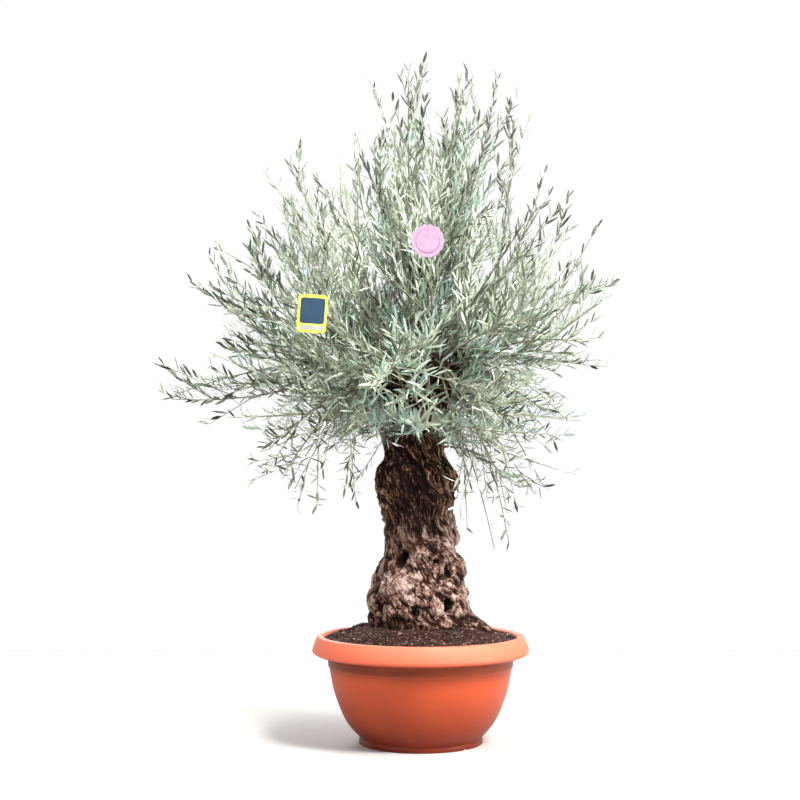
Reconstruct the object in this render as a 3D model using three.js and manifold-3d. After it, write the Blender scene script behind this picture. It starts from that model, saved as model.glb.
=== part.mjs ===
// A potted olive tree: an old knotted trunk in a wide terracotta-coloured plastic bowl, with a
// pollarded head, short boughs and masses of long leafy shoots that carry narrow leaves in pairs.
// Millimetres, +Z up. The origin is the centre of the bowl's underside, and -Y is the front.
import * as THREE from "three";
import { mergeVertices } from "three/addons/utils/BufferGeometryUtils.js";
import Module from "manifold-3d";

const wasm = await Module();
wasm.setup();

const UP = new THREE.Vector3(0, 0, 1);
const TURN = Math.PI * 2;
const GAP = 0.3; // clearance between a piece and what carries it

// The bowl: radii and heights of its upright profile
const BOWL = {
  rimTop: 345,
  rimWidest: 351.5,
  rimWidestHeight: 297,
  rimShoulder: [14.5, 5],
  rimFlat: [20, 6],
  rimInner: 314,
  rimInnerDepth: 32,
  rimDraft: 5,
  wallTop: 301,
  wallTopHeight: 272,
  lipDrop: 14,
  lipInset: 9,
  ledgeHeight: 246,
  ledge: 3,
  belly: [243, 74],
  shoulder: [280, 162],
  footRadius: 200,
  footHeight: 18,
  footWidth: 16,
  footEdge: [2, 4],
  footTaper: [3, 1],
  footInset: 4,
  recessDraft: 4,
  padRadius: 45,
  recess: 7,
  floorTop: 15,
  floorRadius: 186,
  wall: 6,
  segments: 26,
  notches: 4,
  notchRadius: 15,
  notchRise: 6,
};
const SOIL = {
  edgeHeight: 336,
  edgeRadius: 311,
  moundRise: 41,
  moundFoot: 305,
  moundTop: 160,
  lump: 3.5,
  lumpFade: [310, 20],
  rings: [250, 185, 0],
  clear: 1.5,
};

// The trunk: height, half width and sideways place of its axis, from the cut up to the head
const TRUNK_STATIONS = [
  [366, 171, 5],
  [400, 163, 2],
  [470, 155, -8],
  [520, 146, -3],
  [575, 132, 6],
  [625, 112, 3],
  [700, 108, -4],
  [750, 107, -14],
  [800, 124, -13],
  [850, 131, -12],
  [885, 121, -17],
  [925, 95, -17],
  [980, 97, -25],
  [1050, 106, -25],
  [1105, 112, -22],
  [1150, 92, -22],
  [1180, 48, -22],
];
const TRUNK = { sides: 48, rings: 36, ringSpread: 0.66, depthBow: 14, bowHeight: 230 };
const FLUTES = { counts: [7, 11], twists: [95, -140], weights: [0.6, 0.4] };
const FLUTE_DEPTH = { foot: 3, upper: 7, from: 560, to: 720, fadeFrom: 1090, fadeTo: 1170 };
const FLARE = { top: 455, lobes: 5, rise: 16, mainRoot: 34, mainRootTurn: -12, mainRootWidth: 22 };

// Knots that stand out of the front of the foot, and holes that sink in:
// turn in degrees from +X, height, radius, rise
const FRONT_KNOTS = [
  [245, 670, 38, 20],
  [243, 512, 58, 24],
  [232, 430, 32, 20],
  [255, 428, 26, 16],
  [201, 462, 38, 18],
  [290, 448, 34, 22],
  [273, 494, 28, 14],
  [333, 566, 38, 20],
  [330, 458, 36, 20],
  [306, 612, 38, 15],
  [240, 605, 15, -30],
  [237, 585, 16, -34],
  [219, 444, 17, -26],
  [264, 434, 15, -30],
  [307, 456, 18, -38],
  [305, 438, 19, -42],
  [291, 586, 13, -24],
  [307, 566, 13, -24],
  [308, 549, 13, -26],
];
const BACK_KNOTS = {
  count: 13,
  firstTurn: -12,
  turns: 204,
  step: 0.618,
  low: 400,
  high: 720,
  radius: 26,
  rise: 9,
  hollowShare: 0.3,
};

// Small knots and pits all round the foot: their number, the steps that spread them over the turn
// and over the height, and how their rise falls off upwards
const SMALL_KNOTS = {
  count: 76,
  turnStep: 0.7549,
  heightStep: 0.5698,
  low: 384,
  high: 754,
  radius: 20,
  wider: 13,
  rise: 8,
  fall: [1.2, 0.7],
  hollowShare: 0.15,
  hollowDepth: 1.3,
};

// The pollarded head: boughs by turn, slope, length and radii, and the sawn stubs between them
const BOUGH_START = 0.14; // share of a bough's length where it leaves the middle of the head
const HEAD = new THREE.Vector3(-22, 0, 1085);
const BOUGHS = {
  leader: { turn: 100, slope: 80, length: 300, base: 42, tip: 28, knuckle: 43 },
  left: { turn: 184, slope: 42, length: 255, base: 40, tip: 26, knuckle: 36 },
  right: { turn: 0, slope: 44, length: 260, base: 40, tip: 26, knuckle: 36 },
  front_left: { turn: 240, slope: 40, length: 235, base: 34, tip: 23, knuckle: 34 },
  front_right: { turn: 298, slope: 42, length: 235, base: 34, tip: 23, knuckle: 34 },
  back_left: { turn: 130, slope: 34, length: 245, base: 34, tip: 23, knuckle: 34 },
  back_right: { turn: 48, slope: 34, length: 245, base: 34, tip: 23, knuckle: 34 },
};
const BOUGH = { sides: 6, rings: [0, 0.36, 0.66], bend: 26, sag: 8, ballRings: [-0.85, -0.1, 0.6, 0.9] };
const STUB = { sides: 10, spread: 1.12 };
const STUBS = [
  { turn: 330, slope: 26, length: 172, radius: 30 },
  { turn: 209, slope: 20, length: 158, radius: 27 },
  { turn: 88, slope: 12, length: 150, radius: 30 },
];

// Each mass of foliage: the limb that carries it, the tip of its stem, and how far the stem arches up
const MASSES = {
  top_left: { from: "leader", tip: [-40, -120, 2240], arch: 0 },
  top_middle: { from: "leader", tip: [150, 190, 2228], arch: 0 },
  top_right: { from: "leader", tip: [268, -120, 2205], arch: 0 },
  top_back: { from: "leader", tip: [-70, 390, 2070], arch: 10 },
  top_front: { from: "leader", tip: [-90, -330, 1990], arch: 20 },
  upper_left: { from: "leader", tip: [-240, 105, 2048], arch: 20 },
  left_high: { from: "left", tip: [-450, -70, 1935], arch: 0 },
  left_upper: { from: "left", tip: [-712, 40, 1650], arch: 40 },
  left_middle: { from: "left", tip: [-690, -130, 1400], arch: 90 },
  left_low: { from: "left", tip: [-862, 0, 1118], arch: 120 },
  left_back: { from: "left", tip: [-600, 240, 1180], arch: 110 },
  right_high: { from: "right", tip: [455, 40, 1845], arch: 0 },
  right_upper: { from: "right", tip: [636, -40, 1512], arch: 50 },
  right_middle: { from: "right", tip: [590, -190, 1290], arch: 80 },
  right_low: { from: "right", tip: [500, 60, 1030], arch: 90 },
  front_left_high: { from: "front_left", tip: [-280, -430, 1780], arch: 0 },
  front_left: { from: "front_left", tip: [-460, -480, 1400], arch: 60 },
  front_left_low: { from: "front_left", tip: [-440, -300, 800], arch: 170 },
  front_low: { from: "front_left", tip: [-130, -560, 1120], arch: 70 },
  front_high: { from: "front_right", tip: [60, -450, 1790], arch: 0 },
  front_right_high: { from: "front_right", tip: [350, -400, 1690], arch: 20 },
  front_right: { from: "front_right", tip: [350, -520, 1340], arch: 70 },
  front_right_low: { from: "front_right", tip: [300, -400, 1000], arch: 90 },
  back_left_high: { from: "back_left", tip: [-270, 430, 1800], arch: 0 },
  back_left: { from: "back_left", tip: [-470, 470, 1420], arch: 60 },
  back_left_low: { from: "back_left", tip: [-300, 560, 1060], arch: 90 },
  back_right_high: { from: "back_right", tip: [230, 460, 1790], arch: 0 },
  back_right: { from: "back_right", tip: [470, 410, 1410], arch: 60 },
  back_right_low: { from: "back_right", tip: [240, 560, 1080], arch: 90 },
  low_right: { from: "trunk", tip: [322, -40, 596], arch: 420 },
  low_back: { from: "trunk", tip: [-90, 400, 830], arch: 300 },
};
const STEM = { base: 7, tip: 4.5, sides: 4, steps: 4, middle: 0.42, fan: 130, bow: 60 };
const SEAT = { knuckleShare: 0.7, trunkDrop: 30, trunkDepth: 60 };
const STEM_PAIRS = [0.5, 0.75, 0.97];
const TWIG = {
  base: 5,
  end: 2.4,
  length: 250,
  least: 80,
  vary: [0.8, 0.4],
  fallOff: 0.45,
  shorten: 0.85,
  lift: 0.2,
  open: 62,
  close: 26,
};
const TWIG_ROOM = { along: 200, clear: 8 };
const TWIG_PLACES = [0.5, 0.7, 0.3, 0.88];
const TWIG_PAIRS = [0.38, 0.68, 0.95];
const LEAF = {
  length: 130,
  width: 34,
  thickness: 4.5,
  vary: [0.85, 0.3],
  angle: 40,
  tipAngle: 22,
  sway: 12,
  clear: 1.5,
};
const TIP_REACH = 0.9; // how far the last pair stands beyond its stem, in leaf lengths

// Two blank hang labels at the front: where the middle is, the stem that holds each, and half its size
const LABELS = {
  label_round: { from: "front_high", along: 0.5, middle: [16, -420, 1570], size: [51, 51], lobes: 14 },
  label_card: {
    from: "front_left",
    along: 0.5,
    middle: [-330, -425, 1350],
    size: [44, 57],
    corner: 12,
    tilt: 4,
  },
};
const LABEL = {
  thickness: 2.4,
  scallop: 0.06,
  strap: 2.2,
  strapInset: 6,
  clear: 6,
  clearBehind: 2,
  clearHold: 3,
};
const COLLAR = { thickness: 1.7, gap: 0.4 };

const COLOURS = {
  bowl: 0xc8603a,
  soil: 0x46302a,
  bark: 0x5c473c,
  leaf: 0x93a288,
  label_round: 0xf2cfe8,
  label_card: 0xe4ee8c,
};

// A repeatable number from 0 to 1 for each pair of a seed and a count.
function draw(seed, count) {
  const wave = Math.sin(seed * 12.9898 + count * 78.233) * 43758.5453;
  return wave - Math.floor(wave);
}

function radians(degrees) {
  return (degrees * Math.PI) / 180;
}

function direction(turn, slope) {
  const level = Math.cos(radians(slope));
  return new THREE.Vector3(
    level * Math.cos(radians(turn)),
    level * Math.sin(radians(turn)),
    Math.sin(radians(slope)),
  );
}

// The closed mesh of a geometry as a solid, turned right side out.
function solidFrom(geometry) {
  const plain = geometry.clone();
  plain.deleteAttribute("normal");
  plain.deleteAttribute("uv");
  const merged = mergeVertices(plain, 1e-3);
  const vertProperties = new Float32Array(merged.attributes.position.array);
  const triVerts = new Uint32Array(merged.index.array);
  const solid = new wasm.Manifold(new wasm.Mesh({ numProp: 3, vertProperties, triVerts }));
  if (solid.volume() >= 0) return solid;
  for (let i = 0; i < triVerts.length; i += 3) {
    [triVerts[i + 1], triVerts[i + 2]] = [triVerts[i + 2], triVerts[i + 1]];
  }
  return new wasm.Manifold(new wasm.Mesh({ numProp: 3, vertProperties, triVerts }));
}

// The largest body of a solid, with sealed hollows filled and loose scraps dropped.
function wholeBody(solid) {
  const bodies = solid.decompose();
  return bodies.reduce((best, body) => (body.volume() > best.volume() ? body : best));
}

function join(solids) {
  return wasm.Manifold.union(solids);
}

function addPiece(group, name, solid, colour, roughness) {
  const { numProp, numVert, vertProperties, triVerts } = wholeBody(solid).getMesh();
  const positions = new Float32Array(numVert * 3);
  for (let i = 0; i < numVert; i++) {
    positions.set(vertProperties.subarray(i * numProp, i * numProp + 3), i * 3);
  }
  const geometry = new THREE.BufferGeometry();
  geometry.setAttribute("position", new THREE.BufferAttribute(positions, 3));
  geometry.setIndex(new THREE.BufferAttribute(triVerts, 1));
  const material = new THREE.MeshStandardMaterial({ color: colour, roughness, metalness: 0 });
  const mesh = new THREE.Mesh(geometry, material);
  mesh.name = name;
  group.add(mesh);
}

// Moves each vertex of an upright shape of unit height: place(share of the height, turn, radius).
function wrap(geometry, place) {
  const at = geometry.attributes.position;
  const point = new THREE.Vector3();
  for (let i = 0; i < at.count; i++) {
    point.fromBufferAttribute(at, i);
    const reach = Math.hypot(point.x, point.z);
    const moved = place(point.y + 0.5, Math.atan2(-point.z, point.x), reach);
    at.setXYZ(i, moved.x, moved.y, moved.z);
  }
  return geometry;
}

// A smooth value through stations of [place, value, ...], with the slopes of its neighbours.
function through(stations, place, column) {
  const last = stations.length - 1;
  const clamped = Math.min(Math.max(place, stations[0][0]), stations[last][0]);
  let i = 0;
  while (i < last - 1 && clamped > stations[i + 1][0]) i++;
  const slopeAt = (k) => {
    const a = stations[Math.max(k - 1, 0)];
    const b = stations[Math.min(k + 1, last)];
    return (b[column] - a[column]) / (b[0] - a[0]);
  };
  const [low, high] = [stations[i], stations[i + 1]];
  const span = high[0] - low[0];
  const t = (clamped - low[0]) / span;
  const t2 = t * t;
  const t3 = t2 * t;
  return (
    (2 * t3 - 3 * t2 + 1) * low[column] +
    (t3 - 2 * t2 + t) * span * slopeAt(i) +
    (3 * t2 - 2 * t3) * high[column] +
    (t3 - t2) * span * slopeAt(i + 1)
  );
}

// The bowl's wall as a curve of so many steps, moved in by a distance.
function wallCurve(inset, steps) {
  const stations = [
    [BOWL.footRadius - BOWL.footInset, BOWL.footHeight],
    BOWL.belly,
    BOWL.shoulder,
    [BOWL.wallTop - BOWL.ledge, BOWL.ledgeHeight],
  ];
  const marks = stations.map(([radius, height]) => new THREE.Vector2(radius - inset, height));
  return new THREE.SplineCurve(marks).getPoints(steps);
}

// The bowl: a lathed shell with a rolled rim and a foot ring with arched notches.
function bowlSolid() {
  const b = BOWL;
  const footInner = b.footRadius - b.footWidth;
  const vectors = (pairs) => pairs.map(([r, z]) => new THREE.Vector2(r, z));
  const underside = vectors([
    [0, 0],
    [b.padRadius, 0],
    [b.padRadius + b.recessDraft, b.recess],
    [footInner - b.recessDraft, b.recess],
    [footInner, 0],
    [b.footRadius - b.footEdge[0], 0],
    [b.footRadius, b.footEdge[1]],
    [b.footRadius - b.footTaper[0], b.footHeight - b.footTaper[1]],
  ]);
  const rim = vectors([
    [b.wallTop, b.ledgeHeight + 4],
    [b.wallTop + 1, b.wallTopHeight],
    [b.rimWidest - b.lipInset, b.wallTopHeight + b.lipDrop],
    [b.rimWidest, b.rimWidestHeight],
    [b.rimWidest - b.rimShoulder[0], b.rimTop - b.rimShoulder[1]],
    [b.rimWidest - b.rimFlat[0], b.rimTop],
    [b.rimInner + b.rimFlat[1], b.rimTop],
    [b.rimInner, b.rimTop - b.rimFlat[1]],
    [b.rimInner - b.rimDraft, b.rimTop - b.rimInnerDepth],
    [b.wallTop - b.wall, b.wallTopHeight],
  ]);
  const inside = wallCurve(b.wall, 3).reverse().slice(0, -1);
  const floor = vectors([
    [b.floorRadius, b.floorTop],
    [0, b.floorTop],
  ]);
  const outline = [...underside, ...wallCurve(0, 4), ...rim, ...inside, ...floor];
  const shell = new THREE.LatheGeometry(outline, b.segments).rotateX(Math.PI / 2);
  const cuts = [];
  for (let i = 0; i < b.notches; i++) {
    const notch = new THREE.CylinderGeometry(b.notchRadius, b.notchRadius, 2 * b.footWidth, 10);
    notch.rotateZ(Math.PI / 2).translate(b.footRadius - 5, 0, b.notchRise - b.notchRadius);
    cuts.push(solidFrom(notch.rotateZ(((i + 0.5) / b.notches) * TURN)));
  }
  return solidFrom(shell).subtract(join(cuts));
}

// The soil fills the bowl, mounds up to the trunk and lies close round its foot.
function soilSolid(trunkWithGap) {
  const b = BOWL;
  const rimEdge = b.rimInner - b.rimDraft - SOIL.clear;
  const outline = [
    new THREE.Vector2(0, b.floorTop + GAP),
    new THREE.Vector2(b.floorRadius - SOIL.clear, b.floorTop + GAP),
    ...wallCurve(b.wall + 2 * GAP, 3).slice(1),
    new THREE.Vector2(b.wallTop - b.wall - SOIL.clear, b.wallTopHeight),
    new THREE.Vector2(rimEdge, b.rimTop - b.rimInnerDepth),
    new THREE.Vector2(SOIL.edgeRadius, SOIL.edgeHeight),
    ...SOIL.rings.map((radius) => new THREE.Vector2(radius, SOIL.edgeHeight)),
  ];
  const shape = new THREE.LatheGeometry(outline, b.segments).rotateX(Math.PI / 2);
  const at = shape.attributes.position;
  for (let i = 0; i < at.count; i++) {
    if (at.getZ(i) > SOIL.edgeHeight - GAP) at.setZ(i, soilHeight(at.getX(i), at.getY(i)));
  }
  return solidFrom(shape).subtract(trunkWithGap);
}

function soilHeight(x, y) {
  const out = Math.hypot(x, y);
  const mound = 1 - THREE.MathUtils.smoothstep(out, SOIL.moundTop, SOIL.moundFoot);
  const lumps = Math.sin(x / 23 + 1) * Math.cos(y / 19) + 0.6 * Math.sin((x + y) / 31);
  const [fadeEnd, fadeWidth] = SOIL.lumpFade;
  const edge = THREE.MathUtils.clamp((fadeEnd - out) / fadeWidth, 0, 1);
  return SOIL.edgeHeight + SOIL.moundRise * mound + SOIL.lump * lumps * edge;
}

// The knots behind are dealt out round the back by a golden-ratio step, and the small ones by two
// such steps at once, which leave no part of the foot bare.
function trunkKnots() {
  const b = BACK_KNOTS;
  const knots = [...FRONT_KNOTS];
  for (let i = 0; i < b.count; i++) {
    const turn = b.firstTurn + b.turns * ((i * b.step) % 1);
    const height = b.low + (b.high - b.low) * draw(3, i);
    const hollow = draw(7, i) < b.hollowShare;
    const radius = b.radius * (hollow ? 0.7 : 0.9 + 0.6 * draw(5, i));
    knots.push([turn, height, radius, (hollow ? -1.9 : 1) * b.rise * (1 + draw(9, i))]);
  }
  const s = SMALL_KNOTS;
  for (let i = 0; i < s.count; i++) {
    const turn = 360 * ((0.5 + s.turnStep * i) % 1);
    const rising = (0.5 + s.heightStep * i) % 1;
    const hollow = draw(23, i) < s.hollowShare;
    const rise = s.rise * (s.fall[0] - s.fall[1] * rising) * (hollow ? -s.hollowDepth : 1 + draw(22, i));
    knots.push([turn, s.low + (s.high - s.low) * rising, s.radius + s.wider * draw(21, i), rise]);
  }
  return knots;
}
const KNOTS = trunkKnots();

function trunkAxis(height) {
  const bow = TRUNK.depthBow * Math.sin((height - TRUNK_STATIONS[0][0]) / TRUNK.bowHeight);
  return new THREE.Vector2(through(TRUNK_STATIONS, height, 2), bow);
}

// The trunk's surface round its leaning axis: half width, flutes, root flare, and the highest knot
// and the deepest hollow that reach the place.
function trunkRadius(turn, height) {
  const f = FLUTE_DEPTH;
  const half = through(TRUNK_STATIONS, height, 1);
  const depth = f.foot + (f.upper - f.foot) * THREE.MathUtils.smoothstep(height, f.from, f.to);
  const fade = 1 - THREE.MathUtils.smoothstep(height, f.fadeFrom, f.fadeTo);
  let radius = half;
  FLUTES.counts.forEach((count, i) => {
    radius += depth * fade * FLUTES.weights[i] * Math.sin(count * turn + height / FLUTES.twists[i] + i);
  });
  const foot = Math.max(0, (FLARE.top - height) / (FLARE.top - TRUNK_STATIONS[0][0])) ** 2;
  radius += FLARE.rise * foot * Math.cos(FLARE.lobes * turn + 0.6);
  const fromRoot = angleBetween(turn, radians(FLARE.mainRootTurn)) / radians(FLARE.mainRootWidth);
  radius += FLARE.mainRoot * foot * Math.exp(-fromRoot * fromRoot);
  let [highest, deepest] = [0, 0];
  for (const [knotTurn, knotHeight, size, rise] of KNOTS) {
    const across = (angleBetween(turn, radians(knotTurn)) * half) / size;
    const along = (height - knotHeight) / size;
    const bell = rise * Math.exp(-((across * across + along * along) ** 1.5));
    highest = Math.max(highest, bell);
    deepest = Math.min(deepest, bell);
  }
  return radius + highest + deepest;
}

function angleBetween(a, b) {
  return Math.abs(((((a - b) % TURN) + TURN + Math.PI) % TURN) - Math.PI);
}

// The trunk: its rings stand closer together at the knotted foot than at the smooth head.
function trunkSolid(grow) {
  const [bottom, top] = [TRUNK_STATIONS[0][0], TRUNK_STATIONS.at(-1)[0]];
  const shape = new THREE.CylinderGeometry(1, 1, 1, TRUNK.sides, TRUNK.rings);
  wrap(shape, (share, turn, reach) => {
    const spread = TRUNK.ringSpread + (1 - TRUNK.ringSpread) * share;
    const height = bottom + (top - bottom) * share * spread;
    const axis = trunkAxis(height);
    const radius = reach * (trunkRadius(turn, height) + (share === 0 ? 2 : 1) * grow);
    const level = height + (share === 1 ? grow : share === 0 ? -grow : 0);
    return new THREE.Vector3(axis.x + radius * Math.cos(turn), axis.y + radius * Math.sin(turn), level);
  });
  const stubs = STUBS.map(({ turn, slope, length, radius }) => {
    const way = direction(turn, slope);
    const line = new THREE.LineCurve3(HEAD, HEAD.clone().addScaledVector(way, length + grow));
    const taper = (share) => radius * (STUB.spread + (1 - STUB.spread) * share) + grow;
    return solidFrom(limb(line, taper, STUB.sides, 1));
  });
  return join([solidFrom(shape), ...stubs]);
}

// A limb of round section along a curve.
function limb(curve, radiusAt, sides, steps) {
  const shape = new THREE.CylinderGeometry(1, 1, 1, sides, steps);
  return wrap(shape, (share, turn, reach) => ringPoint(curve, share, turn, reach * radiusAt(share)));
}

// A point on the ring round a curve. The ring's first direction lies level, so it never spins.
function ringPoint(curve, share, turn, radius) {
  const tangent = curve.getTangent(share);
  const across = levelAcross(tangent);
  const over = new THREE.Vector3().crossVectors(tangent, across);
  return curve
    .getPoint(share)
    .addScaledVector(across, radius * Math.cos(turn))
    .addScaledVector(over, radius * Math.sin(turn));
}

function levelAcross(tangent) {
  const across = new THREE.Vector3().crossVectors(tangent, UP);
  if (across.length() < 0.05) across.set(0, -1, 0).cross(tangent);
  return across.normalize();
}

// The boughs: each leaves the head along its own turn and slope and ends in a swollen knuckle.
function boughCurve(name) {
  const { turn, slope, length } = BOUGHS[name];
  const way = direction(turn, slope);
  const side = levelAcross(way);
  const seed = Object.keys(BOUGHS).indexOf(name) + 1;
  const bend = BOUGH.bend * (draw(seed, 1) - 0.5);
  const at = (share, out, up) =>
    HEAD.clone().addScaledVector(way, length * share).addScaledVector(side, out).addScaledVector(UP, up);
  const marks = [at(BOUGH_START, 0, 0), at(0.45, bend, -BOUGH.sag), at(0.75, 0, 0), at(1, 0, 0)];
  return new THREE.CatmullRomCurve3(marks);
}

// The radius of a bough's knuckle as a share of the bough's curve.
function knuckleShare(name) {
  const { length, knuckle } = BOUGHS[name];
  return knuckle / (length * (1 - BOUGH_START));
}

function hubShare(name) {
  return 1 - BOUGH.ballRings.at(-1) * knuckleShare(name);
}

// A bough tapers, and a ball swells it round the hub of its knuckle.
function boughRadius(name, share) {
  const { base, tip, knuckle } = BOUGHS[name];
  const fromHub = (share - hubShare(name)) / knuckleShare(name);
  const ball = knuckle * Math.sqrt(Math.max(0, 1 - fromHub * fromHub));
  return fromHub < 0 ? Math.max(ball, base + (tip - base) * share) : ball;
}

const boughCurves = Object.fromEntries(Object.keys(BOUGHS).map((name) => [name, boughCurve(name)]));

function boughSolid(name, grow) {
  const ball = BOUGH.ballRings.map((part) => hubShare(name) + part * knuckleShare(name));
  const rings = [...BOUGH.rings.filter((share) => share < ball[0] - 0.1), ...ball];
  const shape = new THREE.CylinderGeometry(1, 1, 1, BOUGH.sides, rings.length - 1);
  wrap(shape, (part, turn, reach) => {
    const share = rings[Math.round(part * (rings.length - 1))];
    const point = ringPoint(boughCurves[name], share, turn, reach * (boughRadius(name, share) + grow));
    return part < 1 ? point : point.addScaledVector(boughCurves[name].getTangent(1), grow);
  });
  return solidFrom(shape);
}

// The middle of the knuckle, or the heart of the trunk's head, that a mass grows from.
function hubOf(mass) {
  if (mass.from !== "trunk") return boughCurves[mass.from].getPoint(hubShare(mass.from));
  return HEAD.clone().addScaledVector(UP, -SEAT.trunkDrop);
}

// The stem of a mass: from inside its knuckle, fanned away from the stems beside it, bowed out where
// it is steep, to its tip.
function stemCurve(mass) {
  const hub = hubOf(mass);
  const toward = (other) => new THREE.Vector3(...other.tip).sub(hub).normalize();
  const mean = new THREE.Vector3();
  const siblings = Object.values(MASSES).filter((other) => other.from === mass.from);
  siblings.forEach((other) => mean.addScaledVector(toward(other), 1 / siblings.length));
  const seat = mass.from === "trunk" ? SEAT.trunkDepth : SEAT.knuckleShare * BOUGHS[mass.from].knuckle;
  const start = hub.clone().addScaledVector(toward(mass), seat);
  const span = new THREE.Vector3(...mass.tip).sub(start);
  span.setLength(span.length() - TIP_REACH * LEAF.length);
  const steep = Math.max(0, span.z / span.length());
  const outward = new THREE.Vector3(span.x, span.y, 0).normalize();
  const control = start.clone().addScaledVector(span, STEM.middle).addScaledVector(UP, mass.arch);
  control.addScaledVector(outward, STEM.bow * steep * steep);
  control.addScaledVector(toward(mass).sub(mean), STEM.fan);
  return new THREE.QuadraticBezierCurve3(start, control, start.clone().add(span));
}

const names = Object.keys(MASSES);
const stems = names.map((name) => stemCurve(MASSES[name]));
const stemLines = stems.map((stem) => stem.getPoints(STEM.steps));
const boughLines = Object.keys(BOUGHS).map((name) => boughCurves[name].getPoints(8));

function stemRadius(share) {
  return STEM.base + (STEM.tip - STEM.base) * share;
}

// The point on a stem's solid at a share of its height, and the way the stem runs there.
function onStem(own, share) {
  const i = Math.min(Math.floor(share * STEM.steps), STEM.steps - 1);
  const [low, high] = [stemLines[own][i], stemLines[own][i + 1]];
  return [low.clone().lerp(high, share * STEM.steps - i), high.clone().sub(low).normalize()];
}

function distanceToLine(point, line) {
  let best = Infinity;
  const nearest = new THREE.Vector3();
  for (let i = 1; i < line.length; i++) {
    new THREE.Line3(line[i - 1], line[i]).closestPointToPoint(point, true, nearest);
    best = Math.min(best, nearest.distanceTo(point));
  }
  return best;
}

// A point belongs to a mass while that mass's stem is the nearest one, with room on every side,
// and while it is clear of the trunk, the boughs, the bowl and the labels.
function inSpace(point, own, room) {
  if (beyondTip(point, own, room)) return false;
  const reach = distanceToLine(point, stemLines[own]) + 2 * room;
  if (stemLines.some((line, i) => i !== own && distanceToLine(point, line) < reach)) return false;
  return clearOfLimbs(point, room) && clearOfLabels(point, room);
}

// The crown ends at the plane across the tip of each mass.
function beyondTip(point, own, room) {
  const way = stems[own].getTangent(1);
  const tip = new THREE.Vector3(...MASSES[names[own]].tip);
  return point.clone().sub(tip).dot(way) > 1 - room;
}

function clearOfLimbs(point, room) {
  const axis = trunkAxis(point.z);
  const [x, y] = [point.x - axis.x, point.y - axis.y];
  const beside = point.z < TRUNK_STATIONS.at(-1)[0] + room;
  if (beside && Math.hypot(x, y) < trunkRadius(Math.atan2(y, x), point.z) + 2 * room) return false;
  for (const { turn, slope, length, radius } of STUBS) {
    const end = HEAD.clone().addScaledVector(direction(turn, slope), length);
    if (distanceToLine(point, [HEAD, end]) < radius * STUB.spread + room) return false;
  }
  return Object.values(BOUGHS).every(({ base }, i) => distanceToLine(point, boughLines[i]) > base + room);
}

// The labels' frames: each hangs upright or a little tilted and faces the front, tied to its stem
// by a strap.
function labelFrame(name) {
  const { from, along, middle, size, tilt = 0 } = LABELS[name];
  const centre = new THREE.Vector3(...middle);
  const [hold] = onStem(names.indexOf(from), along);
  const upright = direction(0, 90 - tilt);
  const top = centre.clone().addScaledVector(upright, size[1] - LABEL.strapInset);
  top.y += LABEL.thickness / 2;
  return { centre, hold, top, size };
}
const labelFrames = Object.keys(LABELS).map(labelFrame);

// Nothing grows through a label or its strap, nor in front of the label.
function clearOfLabels(point, room) {
  const clear = room + LABEL.clear;
  return labelFrames.every(({ centre, hold, top, size }) => {
    if (distanceToLine(point, [hold, top]) < clear) return false;
    if (point.distanceTo(hold) < clear + LABEL.clearHold) return false;
    const sideways = Math.abs(point.x - centre.x) < size[0] + clear;
    const upright = Math.abs(point.z - centre.z) < size[1] + clear;
    return !(sideways && upright && point.y < centre.y + clear + LABEL.clearBehind);
  });
}

// The way that leaves a limb between two of its four edges, opened by an angle from the limb's own way.
function wayOut(tangent, quarter, angle) {
  const across = levelAcross(tangent);
  const over = new THREE.Vector3().crossVectors(tangent, across);
  const turn = ((quarter + 0.5) * TURN) / 4;
  const side = across.multiplyScalar(Math.cos(turn)).addScaledVector(over, Math.sin(turn));
  return tangent.clone().multiplyScalar(Math.cos(angle)).addScaledVector(side, Math.sin(angle));
}

// A twig leaves its stem by each side in turn, opens less towards the tip, and lifts to the light. It
// is shortened until it fits, or is left out.
function twigLine(own, share, index) {
  const [start, tangent] = onStem(own, share);
  const open = radians(TWIG.open + (TWIG.close - TWIG.open) * share);
  const quarter = [0, 2, 1, 3][(index + own) % 4];
  const way = wayOut(tangent, quarter, open).addScaledVector(UP, TWIG.lift).normalize();
  const vary = TWIG.vary[0] + TWIG.vary[1] * draw(own + 1, index);
  const full = TWIG.length * vary * (1 - TWIG.fallOff * share * share);
  for (let length = full; length > TWIG.least; length *= TWIG.shorten) {
    const marks = [0.4, 0.7, 1].map((part) => start.clone().addScaledVector(way, length * part));
    const fits = marks.every((mark) => inSpace(mark, own, TWIG_ROOM.clear));
    if (fits) return new THREE.LineCurve3(start, marks[2]);
  }
  return null;
}

// A twig is a four-sided spindle: a point at the heart of its stem, thick at once, and fine at its end.
function twigSolid(line) {
  const profile = [
    [0, 0],
    [TWIG.base, 0.06],
    [TWIG.end, 0.98],
    [0, 1],
  ].map(([radius, share]) => new THREE.Vector2(radius, share - 0.5));
  const shape = new THREE.LatheGeometry(profile, 4);
  return solidFrom(wrap(shape, (share, turn, reach) => ringPoint(line, share, turn, reach)));
}

// A leaf is a long flat tetrahedron: its midrib is the upper edge, and its two corners are the widest
// place. Its root is sunk to the heart of the twig.
function leafSolid(root, way, tangent, size) {
  const length = LEAF.length * size;
  const [half, deep] = [Math.sqrt(2 / 3), Math.sqrt(1 / 3)];
  const shape = new THREE.TetrahedronGeometry(1).rotateZ(-Math.PI / 4);
  shape.scale(length / 2 / half, (LEAF.width * size) / 2 / half, LEAF.thickness / 2 / deep);
  shape.translate(length / 2, 0, -LEAF.thickness / 2);
  const across = new THREE.Vector3().crossVectors(tangent, way).normalize();
  const face = new THREE.Vector3().crossVectors(way, across);
  shape.applyMatrix4(new THREE.Matrix4().makeBasis(way, across, face).setPosition(root));
  return solidFrom(shape);
}

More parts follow.
